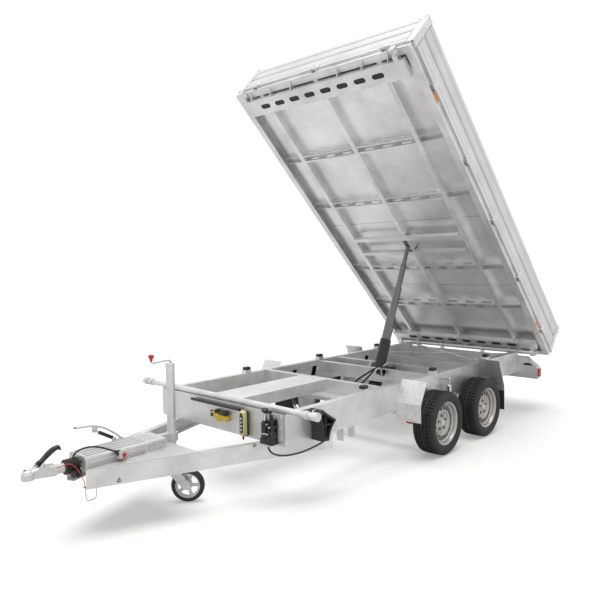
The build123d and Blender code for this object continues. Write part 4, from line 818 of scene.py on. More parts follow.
def tyre(name, x, y, node):
    """A tyre's section spun over one wedge, its tread blocks raised, then repeated."""
    bm = bmesh.new()
    low, top = 0.2550, 0.2622
    side = [(0.069, 0.166), (0.076, 0.170), (0.080, 0.178), (0.0845, 0.180), (0.093, 0.196),
            (0.0965, 0.212), (0.0945, 0.226), (0.0952, 0.229), (0.0925, 0.238), (0.0875, 0.247),
            (0.0815, 0.2525)]
    tread = [(y_edge, low) for rib in RIBS for y_edge in rib]
    inside = [(0.060, 0.170), (0.080, 0.195), (0.078, 0.225), (0.055, 0.240), (-0.055, 0.240),
              (-0.078, 0.225), (-0.080, 0.195), (-0.060, 0.170)]
    line = ([(-w, r) for w, r in side] + tread + [(w, r) for w, r in reversed(side)] + inside)
    centre = Vector((x, y, WHEEL_Z))
    corners = [bm.verts.new(centre + Vector((0.0, w, r))) for w, r in line]
    edges = [bm.edges.new((a, b)) for a, b in zip(corners, corners[1:] + corners[:1])]
    wedge = math.tau / TREAD_WEDGES
    across = Vector((0.0, 1.0, 0.0))
    faces = []
    for share in (0.72, 0.28):
        old = set(bm.faces)
        spun = bmesh.ops.spin(bm, geom=edges, cent=centre, axis=across, angle=wedge * share, steps=1,
                              use_duplicate=False)["geom_last"]
        edges = [e for e in spun if isinstance(e, bmesh.types.BMEdge)]
        faces.append([f for f in bm.faces if f not in old])
    for start, end in RIBS:
        whole = start < 0.0 < end
        chosen = [f for part in (faces if whole else faces[:1]) for f in part
                  if f.is_valid and start < f.calc_center_median().y - y < end
                  and (f.calc_center_median() - centre).length > 0.25]
        grown = bmesh.ops.extrude_face_region(bm, geom=chosen)["geom"]
        for v in (v for v in grown if isinstance(v, bmesh.types.BMVert)):
            out = Vector((v.co.x - x, 0.0, v.co.z - WHEEL_Z))
            edge_drop = 0.002 if abs(v.co.y - y) > 0.07 else 0.0
            v.co += out.normalized() * (top - low - edge_drop)
    bmesh.ops.spin(bm, geom=bm.verts[:] + bm.edges[:] + bm.faces[:], cent=centre, axis=across,
                   angle=wedge * (TREAD_WEDGES - 1), steps=TREAD_WEDGES - 1, use_duplicate=True)
    bmesh.ops.remove_doubles(bm, verts=bm.verts, dist=2e-5)
    piece(name, bm, tyre_rubber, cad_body(node), sharp=30, replaces=node)


# Rims: a stepped barrel, and a pressed disc with sixteen vents, five bolts, a cap and a drum
VENT_PITCH = 360 / 16
BOLTS, BOLT_CIRCLE = 5, 0.056


def rim(name, x, y, node):
    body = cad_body(node)
    place = facing((x, y, WHEEL_Z), (0.0, y, 0.0))
    bm = bmesh.new()
    turned(bm, ((0.1655, -0.0715), (0.181, -0.079), (0.1805, -0.083), (0.176, -0.084), (0.161, -0.077),
                (0.160, -0.055), (0.146, -0.042), (0.146, 0.040), (0.158, 0.052), (0.160, 0.066),
                (0.165, 0.075), (0.176, 0.0805), (0.1805, 0.080), (0.1805, 0.0765), (0.1655, 0.0715),
                (0.1645, 0.058), (0.151, 0.045), (0.151, -0.045), (0.1645, -0.058), (0.1655, -0.0715)),
           place, steps=96)
    piece(name + "_barrel", bm, rim_silver, body, sharp=28)
    bm = bmesh.new()
    rings = ((0.1475, 0.020), (0.141, 0.026), (0.126, 0.036), (0.108, 0.045), (0.102, 0.047),
             (0.095, 0.047), (0.086, 0.040), (0.078, 0.030), (0.066, 0.030), (0.050, 0.030),
             (0.038, 0.030))
    turned(bm, rings, place, steps=96)
    bmesh.ops.remove_doubles(bm, verts=bm.verts, dist=1e-6)
    back = place.inverted()
    vents = []
    for f in bm.faces:
        spot = back @ f.calc_center_median()
        turn = math.degrees(math.atan2(spot.y, spot.x)) % VENT_PITCH
        if 0.110 < spot.xy.length < 0.138 and 3.7 < turn < 18.8:
            vents.append(f)
    bmesh.ops.delete(bm, geom=vents, context="FACES")
    bmesh.ops.recalc_face_normals(bm, faces=bm.faces)
    pressed = piece(name + "_disc", bm, rim_silver, body, sharp=50)
    thick = pressed.modifiers.new("sheet", "SOLIDIFY")
    thick.thickness = 0.005
    thick.offset = 0.0
    smooth = pressed.modifiers.new("pressed", "SUBSURF")
    smooth.levels = smooth.render_levels = 1
    bm = bmesh.new()
    for k in range(BOLTS):
        turn = Matrix.Rotation(math.tau * (k + 0.25) / BOLTS, 4, "Z")
        bolt = place @ turn @ Matrix.Translation((BOLT_CIRCLE, 0.0, 0.031))
        turned(bm, ((0.0, 0.0), (0.0135, 0.0), (0.0125, 0.003), (0.0, 0.003)), bolt, steps=20)
        made = bmesh.ops.create_cone(bm, cap_ends=True, segments=6, radius1=0.0105, radius2=0.0095,
                                     depth=0.012, matrix=bolt @ Matrix.Translation((0, 0, 0.008)))
        bmesh.ops.bevel(bm, geom=edges_of(made["verts"]), offset=0.001, offset_type="OFFSET",
                        segments=1, profile=0.5, affect="EDGES", material=-1)
    piece(name + "_bolts", bm, bolt_dark, body)
    bm = bmesh.new()
    turned(bm, ((0.0, 0.052), (0.010, 0.0515), (0.022, 0.050), (0.0275, 0.046), (0.0285, 0.034),
                (0.036, 0.032), (0.040, 0.029)), place, steps=48)
    piece(name + "_cap", bm, white_zinc, body)
    bm = bmesh.new()
    turned(bm, ((0.020, -0.105), (0.100, -0.105), (0.106, -0.100), (0.106, -0.062), (0.098, -0.052),
                (0.070, -0.045), (0.060, 0.020), (0.0, 0.026)), place, steps=48)
    piece(name + "_drum", bm, drum_grey, body, replaces=node)


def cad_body(node):
    """The body that carries a node."""
    bodies = frame["record"]["behaviour"]["bodies"]
    return next(body for body, members in bodies.items() if node in members)


def road_wheels():
    for (axle, x), (side, y) in itertools.product(AXLES, (("left", WHEEL_Y), ("right", -WHEEL_Y))):
        tyre(f"road_tyre_{axle}_{side}", x, y, f"tyre_{axle}_{side}")
        rim(f"wheel_{axle}_{side}", x, y, f"rim_{axle}_{side}")


# Jockey wheel: a rubber ring on a rim with five spokes
def jockey_wheel():
    low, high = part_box("jockey_wheel")
    hub = Vector([(a + b) / 2 for a, b in zip(low, high)])
    place = facing(hub, (1.0, 1.0, 0.0))
    bm = bmesh.new()
    turned(bm, ((0.083, -0.022), (0.098, -0.0245), (0.107, -0.018), (0.1125, -0.006), (0.1125, 0.006),
                (0.107, 0.018), (0.098, 0.0245), (0.083, 0.022), (0.083, -0.022)), place, steps=48)
    piece("jockey_ring", bm, rubber, "jockey_wheel")
    bm = bmesh.new()
    turned(bm, ((0.0835, -0.0215), (0.0835, 0.0215), (0.079, 0.0225), (0.074, 0.018), (0.070, 0.006),
                (0.070, -0.006), (0.074, -0.018), (0.079, -0.0225), (0.0835, -0.0215)), place, steps=48)
    turned(bm, ((0.009, -0.024), (0.024, -0.024), (0.027, -0.008), (0.030, -0.004), (0.030, 0.004),
                (0.027, 0.008), (0.024, 0.024), (0.009, 0.024), (0.009, -0.024)), place, steps=32)
    for k in range(5):
        spoke = place @ Matrix.Rotation(math.tau * k / 5, 4, "Z") @ Matrix.Translation((0.05, 0, 0))
        block(bm, (0.048, 0.022, 0.008), spoke, edge=0.002)
    piece("jockey_disc", bm, white_zinc, "jockey_wheel", replaces="jockey_wheel")


# Front tube's end caps, with the locking lever at the left one
def front_tube_ends():
    x, z = -1.375, 0.218
    bm = bmesh.new()
    for side in (1, -1):
        out = (0.0, side, 0.0)
        turned(bm, ((0.0, 0.0), (0.024, 0.0), (0.0275, 0.003), (0.0275, 0.03), (0.024, 0.036),
                    (0.0, 0.038)), facing((x, side * 0.905, z), out), steps=36)
        turned(bm, ((0.0215, 0.0), (0.0265, 0.0), (0.0265, 0.026), (0.0215, 0.026)),
               facing((x, side * 0.840, z), out), steps=36)
    piece("front_tube_caps", bm, white_zinc)
    bm = bmesh.new()
    bent_rod(bm, eased(((x - 0.020, 0.884, z), (x - 0.048, 0.886, z + 0.004),
                        (x - 0.062, 0.900, z + 0.012)), 0.008), 0.0075)
    turned(bm, ((0.0, 0.0), (0.012, 0.002), (0.014, 0.01), (0.011, 0.02), (0.0, 0.022)),
           facing((x - 0.060, 0.895, z + 0.004), (-0.5, 0.5, 0.4)), steps=20)
    piece("front_tube_lever", bm, black_plastic)


# Hand pump: two stacked cylinders on a zinc plate, with a block at their foot
def hand_pump():
    x, y, second_y = FRONT_FACE + 0.044, 0.540, 0.600
    bm = bmesh.new()
    turned(bm, ((0.0, 0.030), (0.026, 0.030), (0.0270, 0.034), (0.0270, 0.060), (0.0255, 0.063),
                (0.0270, 0.066), (0.0270, 0.128), (0.0250, 0.134), (0.0200, 0.136), (0.0200, 0.146),
                (0.0, 0.147)), facing((x, y, 0.0)), steps=40)
    turned(bm, ((0.0, 0.030), (0.027, 0.030), (0.028, 0.034), (0.028, 0.078), (0.024, 0.082),
                (0.022, 0.086), (0.022, 0.102), (0.029, 0.105), (0.030, 0.110), (0.030, 0.122),
                (0.027, 0.126), (0.018, 0.128), (0.018, 0.150), (0.024, 0.153), (0.024, 0.163),
                (0.010, 0.165), (0.010, 0.190), (0.0, 0.191)), facing((x, second_y, 0.0)), steps=40)
    block(bm, (0.062, 0.112, 0.040), facing((FRONT_FACE + 0.036, 0.566, 0.014)), edge=0.004)
    block(bm, (0.012, 0.070, 0.110), facing((FRONT_FACE + 0.018, 0.590, 0.105)), edge=0.003)
    for height in (0.054, 0.094, 0.140):
        turned(bm, ((0.0, 0.0), (0.009, 0.0), (0.010, 0.003), (0.008, 0.012), (0.0, 0.013)),
               facing((x + 0.024, second_y, height), (1.0, 0.35, 0.0)), steps=16)
    piece("pump_cylinders", bm, black_paint, replaces="hand_pump")
    bm = bmesh.new()
    slotted_plate(bm, [(0.512, 0.014), (0.645, 0.014), (0.655, 0.024), (0.655, 0.180), (0.645, 0.190),
                       (0.522, 0.190), (0.512, 0.180)], [oval(0.634, 0.166, 0.016, 0.010)],
                  cross_plane(FRONT_FACE + 0.001), 0.006)
    for by, bz in ((0.648, 0.030), (0.648, 0.102), (0.648, 0.172), (0.520, 0.172)):
        hex_bolt(bm, (FRONT_FACE + 0.007, by, bz), (1.0, 0.0, 0.0), 0.0055)
    piece("pump_plate", bm, white_zinc)
    bm = bmesh.new()
    turned(bm, ((0.0145, 0.146), (0.0145, 0.198), (0.016, 0.200), (0.016, 0.204), (0.0, 0.205)),
           facing((x, y, 0.0)), steps=28)
    turned(bm, ((0.0265, 0.060), (0.0280, 0.061), (0.0280, 0.066), (0.0265, 0.067)),
           facing((x, y, 0.0)), steps=36)
    for dy, height in ((0.052, 0.068), (0.072, 0.116), (0.050, 0.134)):
        turned(bm, ((0.0, 0.0), (0.0055, 0.0), (0.0055, 0.007), (0.004, 0.009), (0.0, 0.009)),
               facing((x + 0.030, y + dy, height), (1.0, 0.0, 0.0)), steps=12)
    for dy in (0.008, 0.028, 0.050):
        hex_bolt(bm, (FRONT_FACE + 0.040, y + dy, -0.006), DOWN, 0.0075)
    turned(bm, ((0.0, 0.0), (0.011, 0.0), (0.011, 0.006), (0.0085, 0.008), (0.0085, 0.024),
                (0.0, 0.024)), facing((-1.314, 0.560, -0.004), DOWN), steps=24)
    piece("pump_fittings", bm, steel_rod)
    bm = bmesh.new()
    block(bm, (0.032, 0.038, 0.026), facing((x, y, 0.214)), edge=0.004)
    block(bm, (0.020, 0.052, 0.018), facing((x, y + 0.032, 0.208)), edge=0.003)
    turned(bm, ((0.0, 0.0), (0.017, 0.0), (0.019, 0.004), (0.019, 0.018), (0.014, 0.023), (0.0, 0.024)),
           facing((x + 0.004, y + 0.012, 0.204), (0.5, 0.2, 1.0)), steps=24)
    bent_rod(bm, eased(((x + 0.010, y + 0.050, 0.205), (x + 0.022, y + 0.072, 0.200),
                        (x + 0.018, 0.605, 0.176)), 0.01), 0.006)
    piece("pump_head", bm, black_plastic)


# Wheel chock: hollow curved faces round a recessed side
def curve(start, pull, end, steps=8):
    """The points of a curve from a start, pulled towards a point, short of its end."""
    start, pull, end = Vector(start), Vector(pull), Vector(end)
    shares = [k / steps for k in range(steps)]
    return [tuple(start.lerp(pull, t).lerp(pull.lerp(end, t), t)) for t in shares]


def chock():
    top, nose, toe = (-1.600, 0.198), (-1.738, 0.108), (-1.662, -0.018)
    heel, back = (-1.600, -0.016), (-1.572, 0.170)
    outline = [*curve(top, (-1.665, 0.150), nose), *curve(nose, (-1.672, 0.060), toe), toe,
               *curve(heel, (-1.612, 0.080), back), back]
    middle = Vector((-1.640, 0.086))
    recess = [tuple(middle.lerp(Vector(p), 0.78)) for p in outline]
    bm = bmesh.new()
    slotted_plate(bm, outline, [], side_plane(0.682), 0.060)
    slotted_plate(bm, outline, [recess], side_plane(0.7422), 0.045)
    block(bm, (0.008, 0.040, 0.150), facing((-1.632, 0.764, 0.080)), edge=0.001)
    block(bm, (0.090, 0.040, 0.008), facing((-1.650, 0.764, 0.088)), edge=0.001)
    piece("chock_body", bm, rubber, sharp=25, replaces="wheel_chock")
    bm = bmesh.new()
    bent_rod(bm, eased(((-1.600, 0.735, 0.175), (-1.590, 0.735, 0.194), (-1.556, 0.735, 0.192),
                        (-1.562, 0.735, 0.150)), 0.008), 0.005)
    piece("chock_clip", bm, steel_rod)


# Drawbar end: bellows, handle, brake lever, strut and crank
def bellows():
    """The bellows' folds, and the switch block beside them."""
    bm = bmesh.new()
    folds, length, inner = 5, 0.0870, 0.0290
    fold = ((0.0, 0.034), (0.14, 0.036), (0.30, 0.0435), (0.42, 0.0455), (0.58, 0.0455), (0.70, 0.0435),
            (0.86, 0.036))
    line = [(inner, 0.0)]
    line += [(radius, (k + share) * length / folds) for k in range(folds) for share, radius in fold]
    line += [(0.034, length), (inner, length), (inner, 0.0)]
    turned(bm, line, facing((-0.292, 0.0, -0.003), (1.0, 0.0, 0.0)), steps=48)
    piece("bellows_folds", bm, rubber, sharp=50, replaces="drawbar_bellows")
    bm = bmesh.new()
    block(bm, (0.030, 0.040, 0.044), facing((-0.272, 0.046, -0.040)), edge=0.005)
    turned(bm, ((0.0, 0.0), (0.020, 0.0), (0.022, 0.004), (0.022, 0.020), (0.0, 0.021)),
           facing((-0.258, 0.046, -0.040), (1.0, 0.3, 0.0)), steps=28)
    piece("switch_block", bm, black_plastic)


def handle():
    """The coupling's curved grip, notched on its upper side."""
    points = eased(((-0.060, 0.0, 0.049), (-0.112, 0.0, 0.094), (-0.150, 0.0, 0.120),
                    (-0.184, 0.0, 0.127)), 0.018)
    spine = []
    for a, b in zip(points, points[1:]):
        spine += [a.lerp(b, k / 4) for k in range(4)]
    spine.append(points[-1])
    upper, lower = [], []
    for k, p in enumerate(spine):
        before, after = spine[max(k - 1, 0)], spine[min(k + 1, len(spine) - 1)]
        way = (after - before).normalized()
        off = Vector((-way.z, 0.0, way.x))
        share = k / (len(spine) - 1)
        half = 0.0085 + 0.003 * math.sin(math.pi * share)
        notch = 0.0028 if k % 5 == 2 and 0.12 < share < 0.8 else 0.0
        upper.append(p - off * (half - notch))
        lower.append(p + off * half)
    hook = [lower[-1] + Vector((-0.006, 0, -0.010)), lower[-1] + Vector((0.001, 0, -0.012))]
    outline = [(p.x, p.z) for p in upper] + [(p.x, p.z) for p in [*hook, *reversed(lower)]]
    bm = bmesh.new()
    slotted_plate(bm, outline, [], side_plane(-0.015), 0.030)
    block(bm, (0.024, 0.034, 0.022), facing((-0.066, 0.0, 0.053), (-0.76, 0.0, 0.65)), edge=0.003)
    piece("handle_grip", bm, black_plastic, sharp=30, replaces="coupling_handle")


def head_ears():
    """The coupling head's side plates, and the red mark on its nose."""
    bm = bmesh.new()
    for side in (1, -1):
        slotted_plate(bm, [(-0.022, 0.012), (-0.070, 0.062), (-0.078, 0.064), (-0.086, 0.060),
                           (-0.128, 0.014), (-0.122, -0.016), (-0.092, -0.020), (-0.040, -0.004)],
                      [oval(-0.076, 0.046, 0.010, 0.0098)], side_plane(side * 0.0335), side * 0.007)
        turned(bm, ((0.0, 0.0), (0.015, 0.0), (0.0165, 0.002), (0.0165, 0.006), (0.009, 0.008),
                    (0.0, 0.0085)), facing((-0.104, side * 0.0400, -0.004), (0.0, side, 0.0)), steps=28)
        turned(bm, ((0.0, 0.0), (0.007, 0.0), (0.008, 0.003), (0.0, 0.004)),
               facing((-0.050, side * 0.0400, 0.018), (0.0, side, 0.0)), steps=20)
    piece("head_ears", bm, tow_head_zinc)
    bm = bmesh.new()
    turned(bm, ((0.0, 0.0), (0.0075, 0.0), (0.008, 0.002), (0.006, 0.006), (0.0, 0.007)),
           facing((0.014, 0.0, 0.0345), (0.5, 0.0, 1.0)), steps=24)
    piece("head_mark", bm, red_plastic)


def brake_parts():
    """The handbrake's lever, and the strut below it between two lugs."""
    y = -0.106
    bm = bmesh.new()
    line = eased(((-0.655, y, 0.048), (-0.600, y, 0.098), (-0.520, y, 0.152), (-0.450, y, 0.174),
                  (-0.330, y, 0.184)), 0.02)
    bent_rod(bm, line, 0.0062, sides=16)
    block(bm, (0.048, 0.010, 0.048), facing((-0.640, y, 0.035)), edge=0.003)
    hex_bolt(bm, (-0.640, y - 0.005, 0.035), (0.0, -1.0, 0.0), 0.008)
    piece("brake_lever", bm, brake_lever_zinc, replaces="handbrake_lever")
    foot, head = Vector((-0.600, -0.1245, 0.062)), Vector((-0.470, -0.1245, 0.138))
    way = (head - foot).normalized()
    bm = bmesh.new()
    turned(bm, ((0.0, 0.0), (0.008, 0.0), (0.008, 0.006), (0.0112, 0.008), (0.0115, 0.012),
                (0.0115, 0.112), (0.0100, 0.116), (0.0055, 0.117), (0.0055, 0.138), (0.0075, 0.140),
                (0.0075, 0.147), (0.0, 0.148)), facing(foot, way), steps=28)
    piece("strut_tube", bm, strut_black, replaces="handbrake_strut")
    bm = bmesh.new()
    disc(bm, facing(head + way * 0.002, (0.0, 1.0, 0.0)), 0.0135, 0.006, 0.003, inner=0.0055, steps=28)
    side = side_plane(y - 0.0120)
    prism(bm, ((-0.486, 0.132), (-0.478, 0.126), (-0.462, 0.126), (-0.452, 0.134), (-0.448, 0.178),
               (-0.490, 0.165)), side, 0.005, edge=0.001)
    prism(bm, ((-0.625, 0.020), (-0.575, 0.020), (-0.588, 0.066), (-0.600, 0.074), (-0.612, 0.066)),
          side, 0.005, edge=0.001)
    hex_bolt(bm, (-0.600, y - 0.0255, 0.064), (0.0, -1.0, 0.0), 0.006)
    piece("strut_eye", bm, steel_rod)


def crank():
    """The jockey wheel's crank with its knob."""
    bm = bmesh.new()
    top, arm_x, knob_x = 0.538, JOCKEY_X - 0.006, -0.816
    bent_rod(bm, eased(((arm_x, 0.0, 0.500), (arm_x, 0.0, top - 0.008), (-0.920, 0.0, top - 0.006),
                        (-0.838, 0.0, 0.527), (knob_x, 0.0, 0.527), (knob_x, 0.0, 0.560)), 0.012),
             0.0058, sides=16)
    turned(bm, ((0.0, 0.0), (0.0145, 0.0), (0.0155, 0.002), (0.0155, 0.012), (0.0125, 0.015),
                (0.0105, 0.028), (0.0, 0.030)), facing((arm_x, 0.0, 0.494)), steps=32)
    turned(bm, ((0.0, 0.543), (0.0090, 0.543), (0.0100, 0.546), (0.0100, 0.556), (0.0160, 0.560),
                (0.0185, 0.568), (0.0185, 0.576), (0.0150, 0.583), (0.0, 0.5845)),
           facing((knob_x, 0.0, 0.0)), steps=36)
    piece("crank_arm", bm, crank_steel, replaces="jockey_crank")


def housing_parts():
    """The overrun housing's side plates, ledges and the ribs on its top."""
    bm = bmesh.new()
    for side in (1, -1):
        slotted_plate(bm, [(-0.720, -0.020), (-0.846, -0.020), (-0.846, 0.036), (-0.836, 0.046),
                           (-0.730, 0.046), (-0.720, 0.036)],
                      [oval(x, 0.026, 0.022, 0.010) for x in (-0.745, -0.822)],
                      side_plane(side * 0.1005), side * 0.004)
        for x in (-0.760, -0.806):
            hex_bolt(bm, (x, side * 0.1045, 0.010), (0.0, side, 0.0), 0.007)
        for width, y, z in ((0.012, 0.103, 0.022), (0.014, 0.104, -0.004)):
            block(bm, (0.380, width, 0.007), facing((-0.500, side * y, z)), edge=0.003)
    for y, z in ((-0.088, 0.044), (-0.044, 0.056), (0.0, 0.056), (0.044, 0.056), (0.088, 0.044)):
        block(bm, (0.375, 0.010, 0.004), facing((-0.6125, y, z)), edge=0.0015)
    piece("housing_plates", bm, cast_zinc)


# Control valve: a yellow lever block under two black coils, with a red knob
def control_valve():
    x, y, z = FRONT_FACE, 0.060, 0.088
    bm = bmesh.new()
    outline = ((-0.078, 0.004), (-0.07, 0.02), (0.07, 0.012), (0.078, -0.006), (0.074, -0.026),
               (0.012, -0.02), (-0.006, -0.036), (-0.028, -0.034), (-0.034, -0.016), (-0.062, -0.012))
    prism(bm, outline, Matrix.Translation((0.0, 0.0, z)) @ cross_plane(x + 0.003, y), 0.03, edge=0.003)
    piece("valve_block", bm, yellow_plastic, replaces="control_units")
    bm = bmesh.new()
    turned(bm, ((0.0, -0.045), (0.013, -0.043), (0.017, -0.036), (0.017, 0.030), (0.013, 0.040),
                (0.0, 0.042)), facing((x + 0.021, y + 0.03, z + 0.030), (0.0, 1.0, 0.12)), steps=28)
    turned(bm, ((0.0, -0.02), (0.011, -0.019), (0.013, -0.014), (0.013, 0.014), (0.010, 0.022),
                (0.0, 0.024)), facing((x + 0.018, y - 0.045, z + 0.034), (0.0, 1.0, 0.35)), steps=24)
    turned(bm, ((0.0, 0.0), (0.012, 0.001), (0.015, 0.008), (0.012, 0.016), (0.0, 0.018)),
           facing((x + 0.03, y - 0.074, z + 0.006), (0.6, -0.5, 0.1)), steps=20)
    block(bm, (0.014, 0.05, 0.016), facing((x + 0.012, y, z + 0.018)), edge=0.003)
    piece("valve_coils", bm, black_plastic)
    bm = bmesh.new()
    bent_rod(bm, ((x + 0.018, y - 0.07, z + 0.034), (x + 0.026, y - 0.088, z + 0.030)), 0.003)
    turned(bm, ((0.0, -0.002), (0.006, 0.0), (0.0075, 0.012), (0.005, 0.022), (0.0, 0.024)),
           facing((x + 0.024, y - 0.084, z + 0.031), (0.3, -0.9, -0.05)), steps=18)
    piece("valve_knob", bm, red_plastic)


# Remote control: a beige body with four buttons, in a black cradle
def remote_control():
    x, y = FRONT_FACE, 0.314
    bm = bmesh.new()
    side_on = Matrix.Translation((x, y + 0.019, 0.0)) @ Matrix.Rotation(math.pi / 2, 4, "X")
    cradle = ((0.0, -0.002), (0.0, 0.165), (0.018, 0.170), (0.036, 0.155), (0.040, 0.060),
              (0.050, 0.010), (0.034, -0.004))
    prism(bm, cradle, side_on, 0.038, edge=0.003)
    piece("remote_cradle", bm, black_plastic)
    bm = bmesh.new()
    shell = ((0.018, 0.004), (0.020, 0.168), (0.030, 0.174), (0.050, 0.160), (0.052, 0.010),
             (0.044, 0.0))
    prism(bm, shell, Matrix.Translation((0.0, 0.004, 0.0)) @ side_on, 0.046, edge=0.004)
    piece("remote_body", bm, beige_plastic)
    bm = bmesh.new()
    block(bm, (0.004, 0.030, 0.118), facing((x + 0.0525, y, 0.082)), edge=0.0015)
    turned(bm, ((0.0, 0.0), (0.009, 0.0), (0.009, 0.006), (0.006, 0.010), (0.0, 0.011)),
           facing((x + 0.050, y, 0.150), (1.0, 0.0, 0.2)), steps=20)
    turned(bm, ((0.0, 0.0), (0.006, 0.0), (0.007, 0.018), (0.004, 0.03), (0.0, 0.03)),
           facing((x + 0.035, y, 0.003), DOWN), steps=16)
    piece("remote_pad", bm, black_plastic)
    bm = bmesh.new()
    for height in (0.044, 0.070, 0.096, 0.122):
        turned(bm, ((0.0, 0.0), (0.0075, 0.0), (0.0075, 0.002), (0.0055, 0.0035), (0.0, 0.004)),
               facing((x + 0.0545, y, height), (1.0, 0.0, 0.0)), steps=16)
    piece("remote_buttons", bm, button_white)


# Motor block beside the cylinder's foot, with its two pipes, and the gimbal's plates
def foot_motor():
    bm = bmesh.new()
    turned(bm, ((0.0, -0.060), (0.036, -0.058), (0.042, -0.050), (0.042, 0.030), (0.046, 0.034),
                (0.046, 0.046), (0.038, 0.054), (0.0, 0.056)),
           facing((-3.235, 0.118, 0.158), (0.99, 0.12, 0.0)), steps=40)
    block(bm, (0.060, 0.060, 0.050), facing((-3.168, 0.118, 0.160)), edge=0.008, segments=3)
    block(bm, (0.080, 0.070, 0.060), facing((-3.330, 0.122, 0.158)), edge=0.010, segments=3)
    turned(bm, ((0.0, 0.0), (0.012, 0.0), (0.014, 0.012), (0.010, 0.024), (0.0, 0.026)),
           facing((-3.146, 0.112, 0.190), (1.0, 0.0, 0.4)), steps=20)
    for end_y, lift in ((0.05, 0.005), (-0.03, 0.02)):
        bent_rod(bm, eased(((-3.13, 0.112, 0.172 + lift), (-3.09, 0.105, 0.172 + lift),
                            (-3.00, end_y + 0.03, 0.105), (-2.985, end_y, 0.07)), 0.02), 0.009)
        turned(bm, ((0.0, 0.0), (0.014, 0.0), (0.014, 0.018), (0.0, 0.018)),
               facing((-2.985, end_y, 0.058)), steps=16)
    piece("foot_motor", bm, black_paint)
    bm = bmesh.new()
    for y in (-0.088, 0.070):
        turned(bm, ((0.026, 0.0), (0.048, 0.0), (0.052, 0.004), (0.052, 0.014), (0.048, 0.018),
                    (0.026, 0.018), (0.026, 0.0)), facing((-3.315, y, 0.159), (0.0, 1.0, 0.0)),
               steps=40)
    bent_rod(bm, eased(((-3.150, 0.150, 0.120), (-3.120, 0.160, 0.205), (-3.060, 0.150, 0.200),
                        (-3.040, 0.120, 0.110)), 0.03), 0.007)
    block(bm, (0.012, 0.090, 0.060), facing((-3.262, 0.092, 0.120), (1.0, 0.2, 0.3)), edge=0.003)
    piece("gimbal_plates", bm, white_zinc)


# Plug: a red cap with ribs round it
def plug_cap():
    start, way = Vector((-0.468, 0.121, 0.055)), Vector((-0.859, 0.153, -0.491)).normalized()
    bm = bmesh.new()
    place = facing(start + way * 0.050, way)
    turned(bm, ((0.0, 0.0), (0.0215, 0.0), (0.0225, 0.002), (0.0225, 0.014), (0.021, 0.0185),
                (0.017, 0.0205), (0.0, 0.021)), place, steps=40)
    for k in range(12):
        rib = place @ Matrix.Rotation(math.tau * k / 12, 4, "Z")
        block(bm, (0.003, 0.004, 0.013), rib @ Matrix.Translation((0.0222, 0.0, 0.008)), edge=0.001,
              segments=1)
    piece("plug_cap", bm, red_plastic)


# The left drawbar beam's outer face: its front end, and how much it spreads over its length
BEAM_NOSE, BEAM_SLOPE = (-0.280, 0.12), (0.68 - 0.12) / (1.82 - 0.28)


def wire_stand():
    """The wire stand below the drawbar's nose, and the eyes on the beam."""
    bm = bmesh.new()
    bent_rod(bm, eased(((-0.285, 0.098, -0.118), (-0.290, 0.098, -0.192), (-0.300, 0.098, -0.203),
                        (-0.345, 0.098, -0.203), (-0.352, 0.098, -0.192), (-0.357, 0.098, -0.118)),
                       0.008), 0.0035)
    for front, foot, rear in ((-0.270, -0.285, -0.302), (-0.342, -0.357, -0.368)):
        bent_rod(bm, eased(((front, 0.098, -0.112), (foot, 0.098, -0.119), (rear, 0.098, -0.112)),
                           0.005), 0.0035)
    piece("wire_stand", bm, steel_rod)
    bm = bmesh.new()
    for x, z in ((-1.27, -0.022), (-0.455, -0.104)):
        y = BEAM_NOSE[1] + (BEAM_NOSE[0] - x) * BEAM_SLOPE + 0.002
        corners = [(x + 0.014 * math.cos(t), y, z + 0.014 * math.sin(t))
                   for t in (math.tau * k / 3 + math.pi / 2 for k in range(4))]
        for pair in zip(corners, corners[1:]):
            bent_rod(bm, pair, 0.0022, sides=8)
    piece("beam_eyes", bm, black_paint)


for make in (bed_channels, walls, frame_edges, beam_slots, corner_latches, chassis_rods, tube_cap,
             guard_reflectors, road_wheels, jockey_wheel, front_tube_ends, hand_pump, chock, bellows,
             handle, head_ears, brake_parts, crank, housing_parts, control_valve, remote_control,
             foot_motor, plug_cap, wire_stand):
    make()


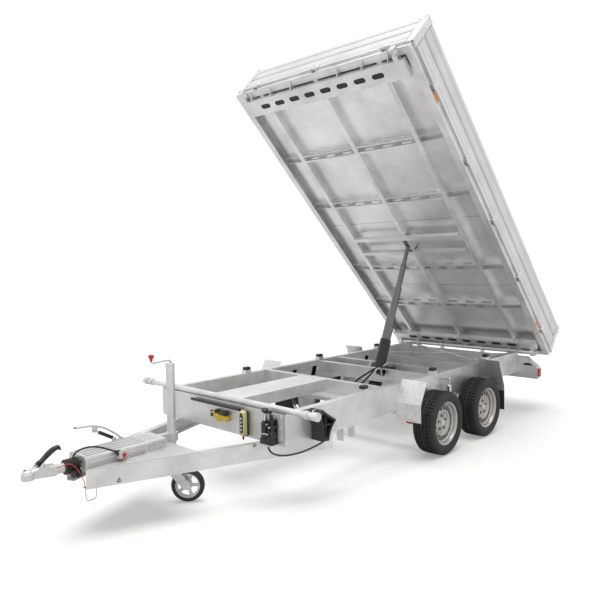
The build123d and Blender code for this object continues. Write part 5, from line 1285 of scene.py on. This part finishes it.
# Floor, background and light
def make_floor():
    mesh = bpy.data.meshes.new("floor")
    bm = bmesh.new()
    bmesh.ops.create_circle(bm, cap_ends=True, segments=64, radius=400.0,
                            matrix=Matrix.Translation((0.0, 0.0, GROUND)))
    bm.to_mesh(mesh)
    bm.free()
    material, sh, surface = new_material("floor_white")
    surface.inputs["Base Color"].default_value = grey(0.78)
    surface.inputs["Roughness"].default_value = 0.9
    surface.inputs["Specular IOR Level"].default_value = 0.1
    surface.inputs["Emission Color"].default_value = grey(1.0)
    path = sh.add("ShaderNodeLightPath")
    lift = sh.add("ShaderNodeMath", operation="MULTIPLY")
    sh.give(lift.inputs[0], path.outputs["Is Camera Ray"])
    lift.inputs[1].default_value = 0.27
    sh.give(surface.inputs["Emission Strength"], lift.outputs["Value"])
    mesh.materials.append(material)
    floor = bpy.data.objects.new("floor", mesh)
    scene.collection.objects.link(floor)


def make_world():
    world = bpy.data.worlds.new("studio")
    world.use_nodes = True
    scene.world = world
    sh = Shader(world.node_tree)
    background = world.node_tree.nodes["Background"]
    path = sh.add("ShaderNodeLightPath")
    seen = sh.add("ShaderNodeMath", operation="MAXIMUM")
    sh.give(seen.inputs[0], path.outputs["Is Camera Ray"])
    sh.give(seen.inputs[1], path.outputs["Is Glossy Ray"])
    strength = sh.add("ShaderNodeMix", {"Factor": seen.outputs["Value"], "A": 0.42, "B": 1.0},
                      data_type="FLOAT")
    sh.give(background.inputs["Strength"], strength.outputs["Result"])
    background.inputs["Color"].default_value = grey(1.0)


def make_sun(name, energy, place, aim, angle):
    lamp = bpy.data.lights.new(name, "SUN")
    lamp.energy = energy
    lamp.angle = angle
    lamp.color = (1.0, 0.985, 0.95)
    holder = bpy.data.objects.new(name, lamp)
    scene.collection.objects.link(holder)
    holder.location = place
    holder.rotation_euler = (Vector(aim) - Vector(place)).to_track_quat("-Z", "Y").to_euler()


make_floor()
make_world()
make_sun("key", 2.3, (-1.7, -0.1, 9.0), (-2.5, 0.0, 0.0), math.radians(48))

scene.view_settings.view_transform = "Standard"
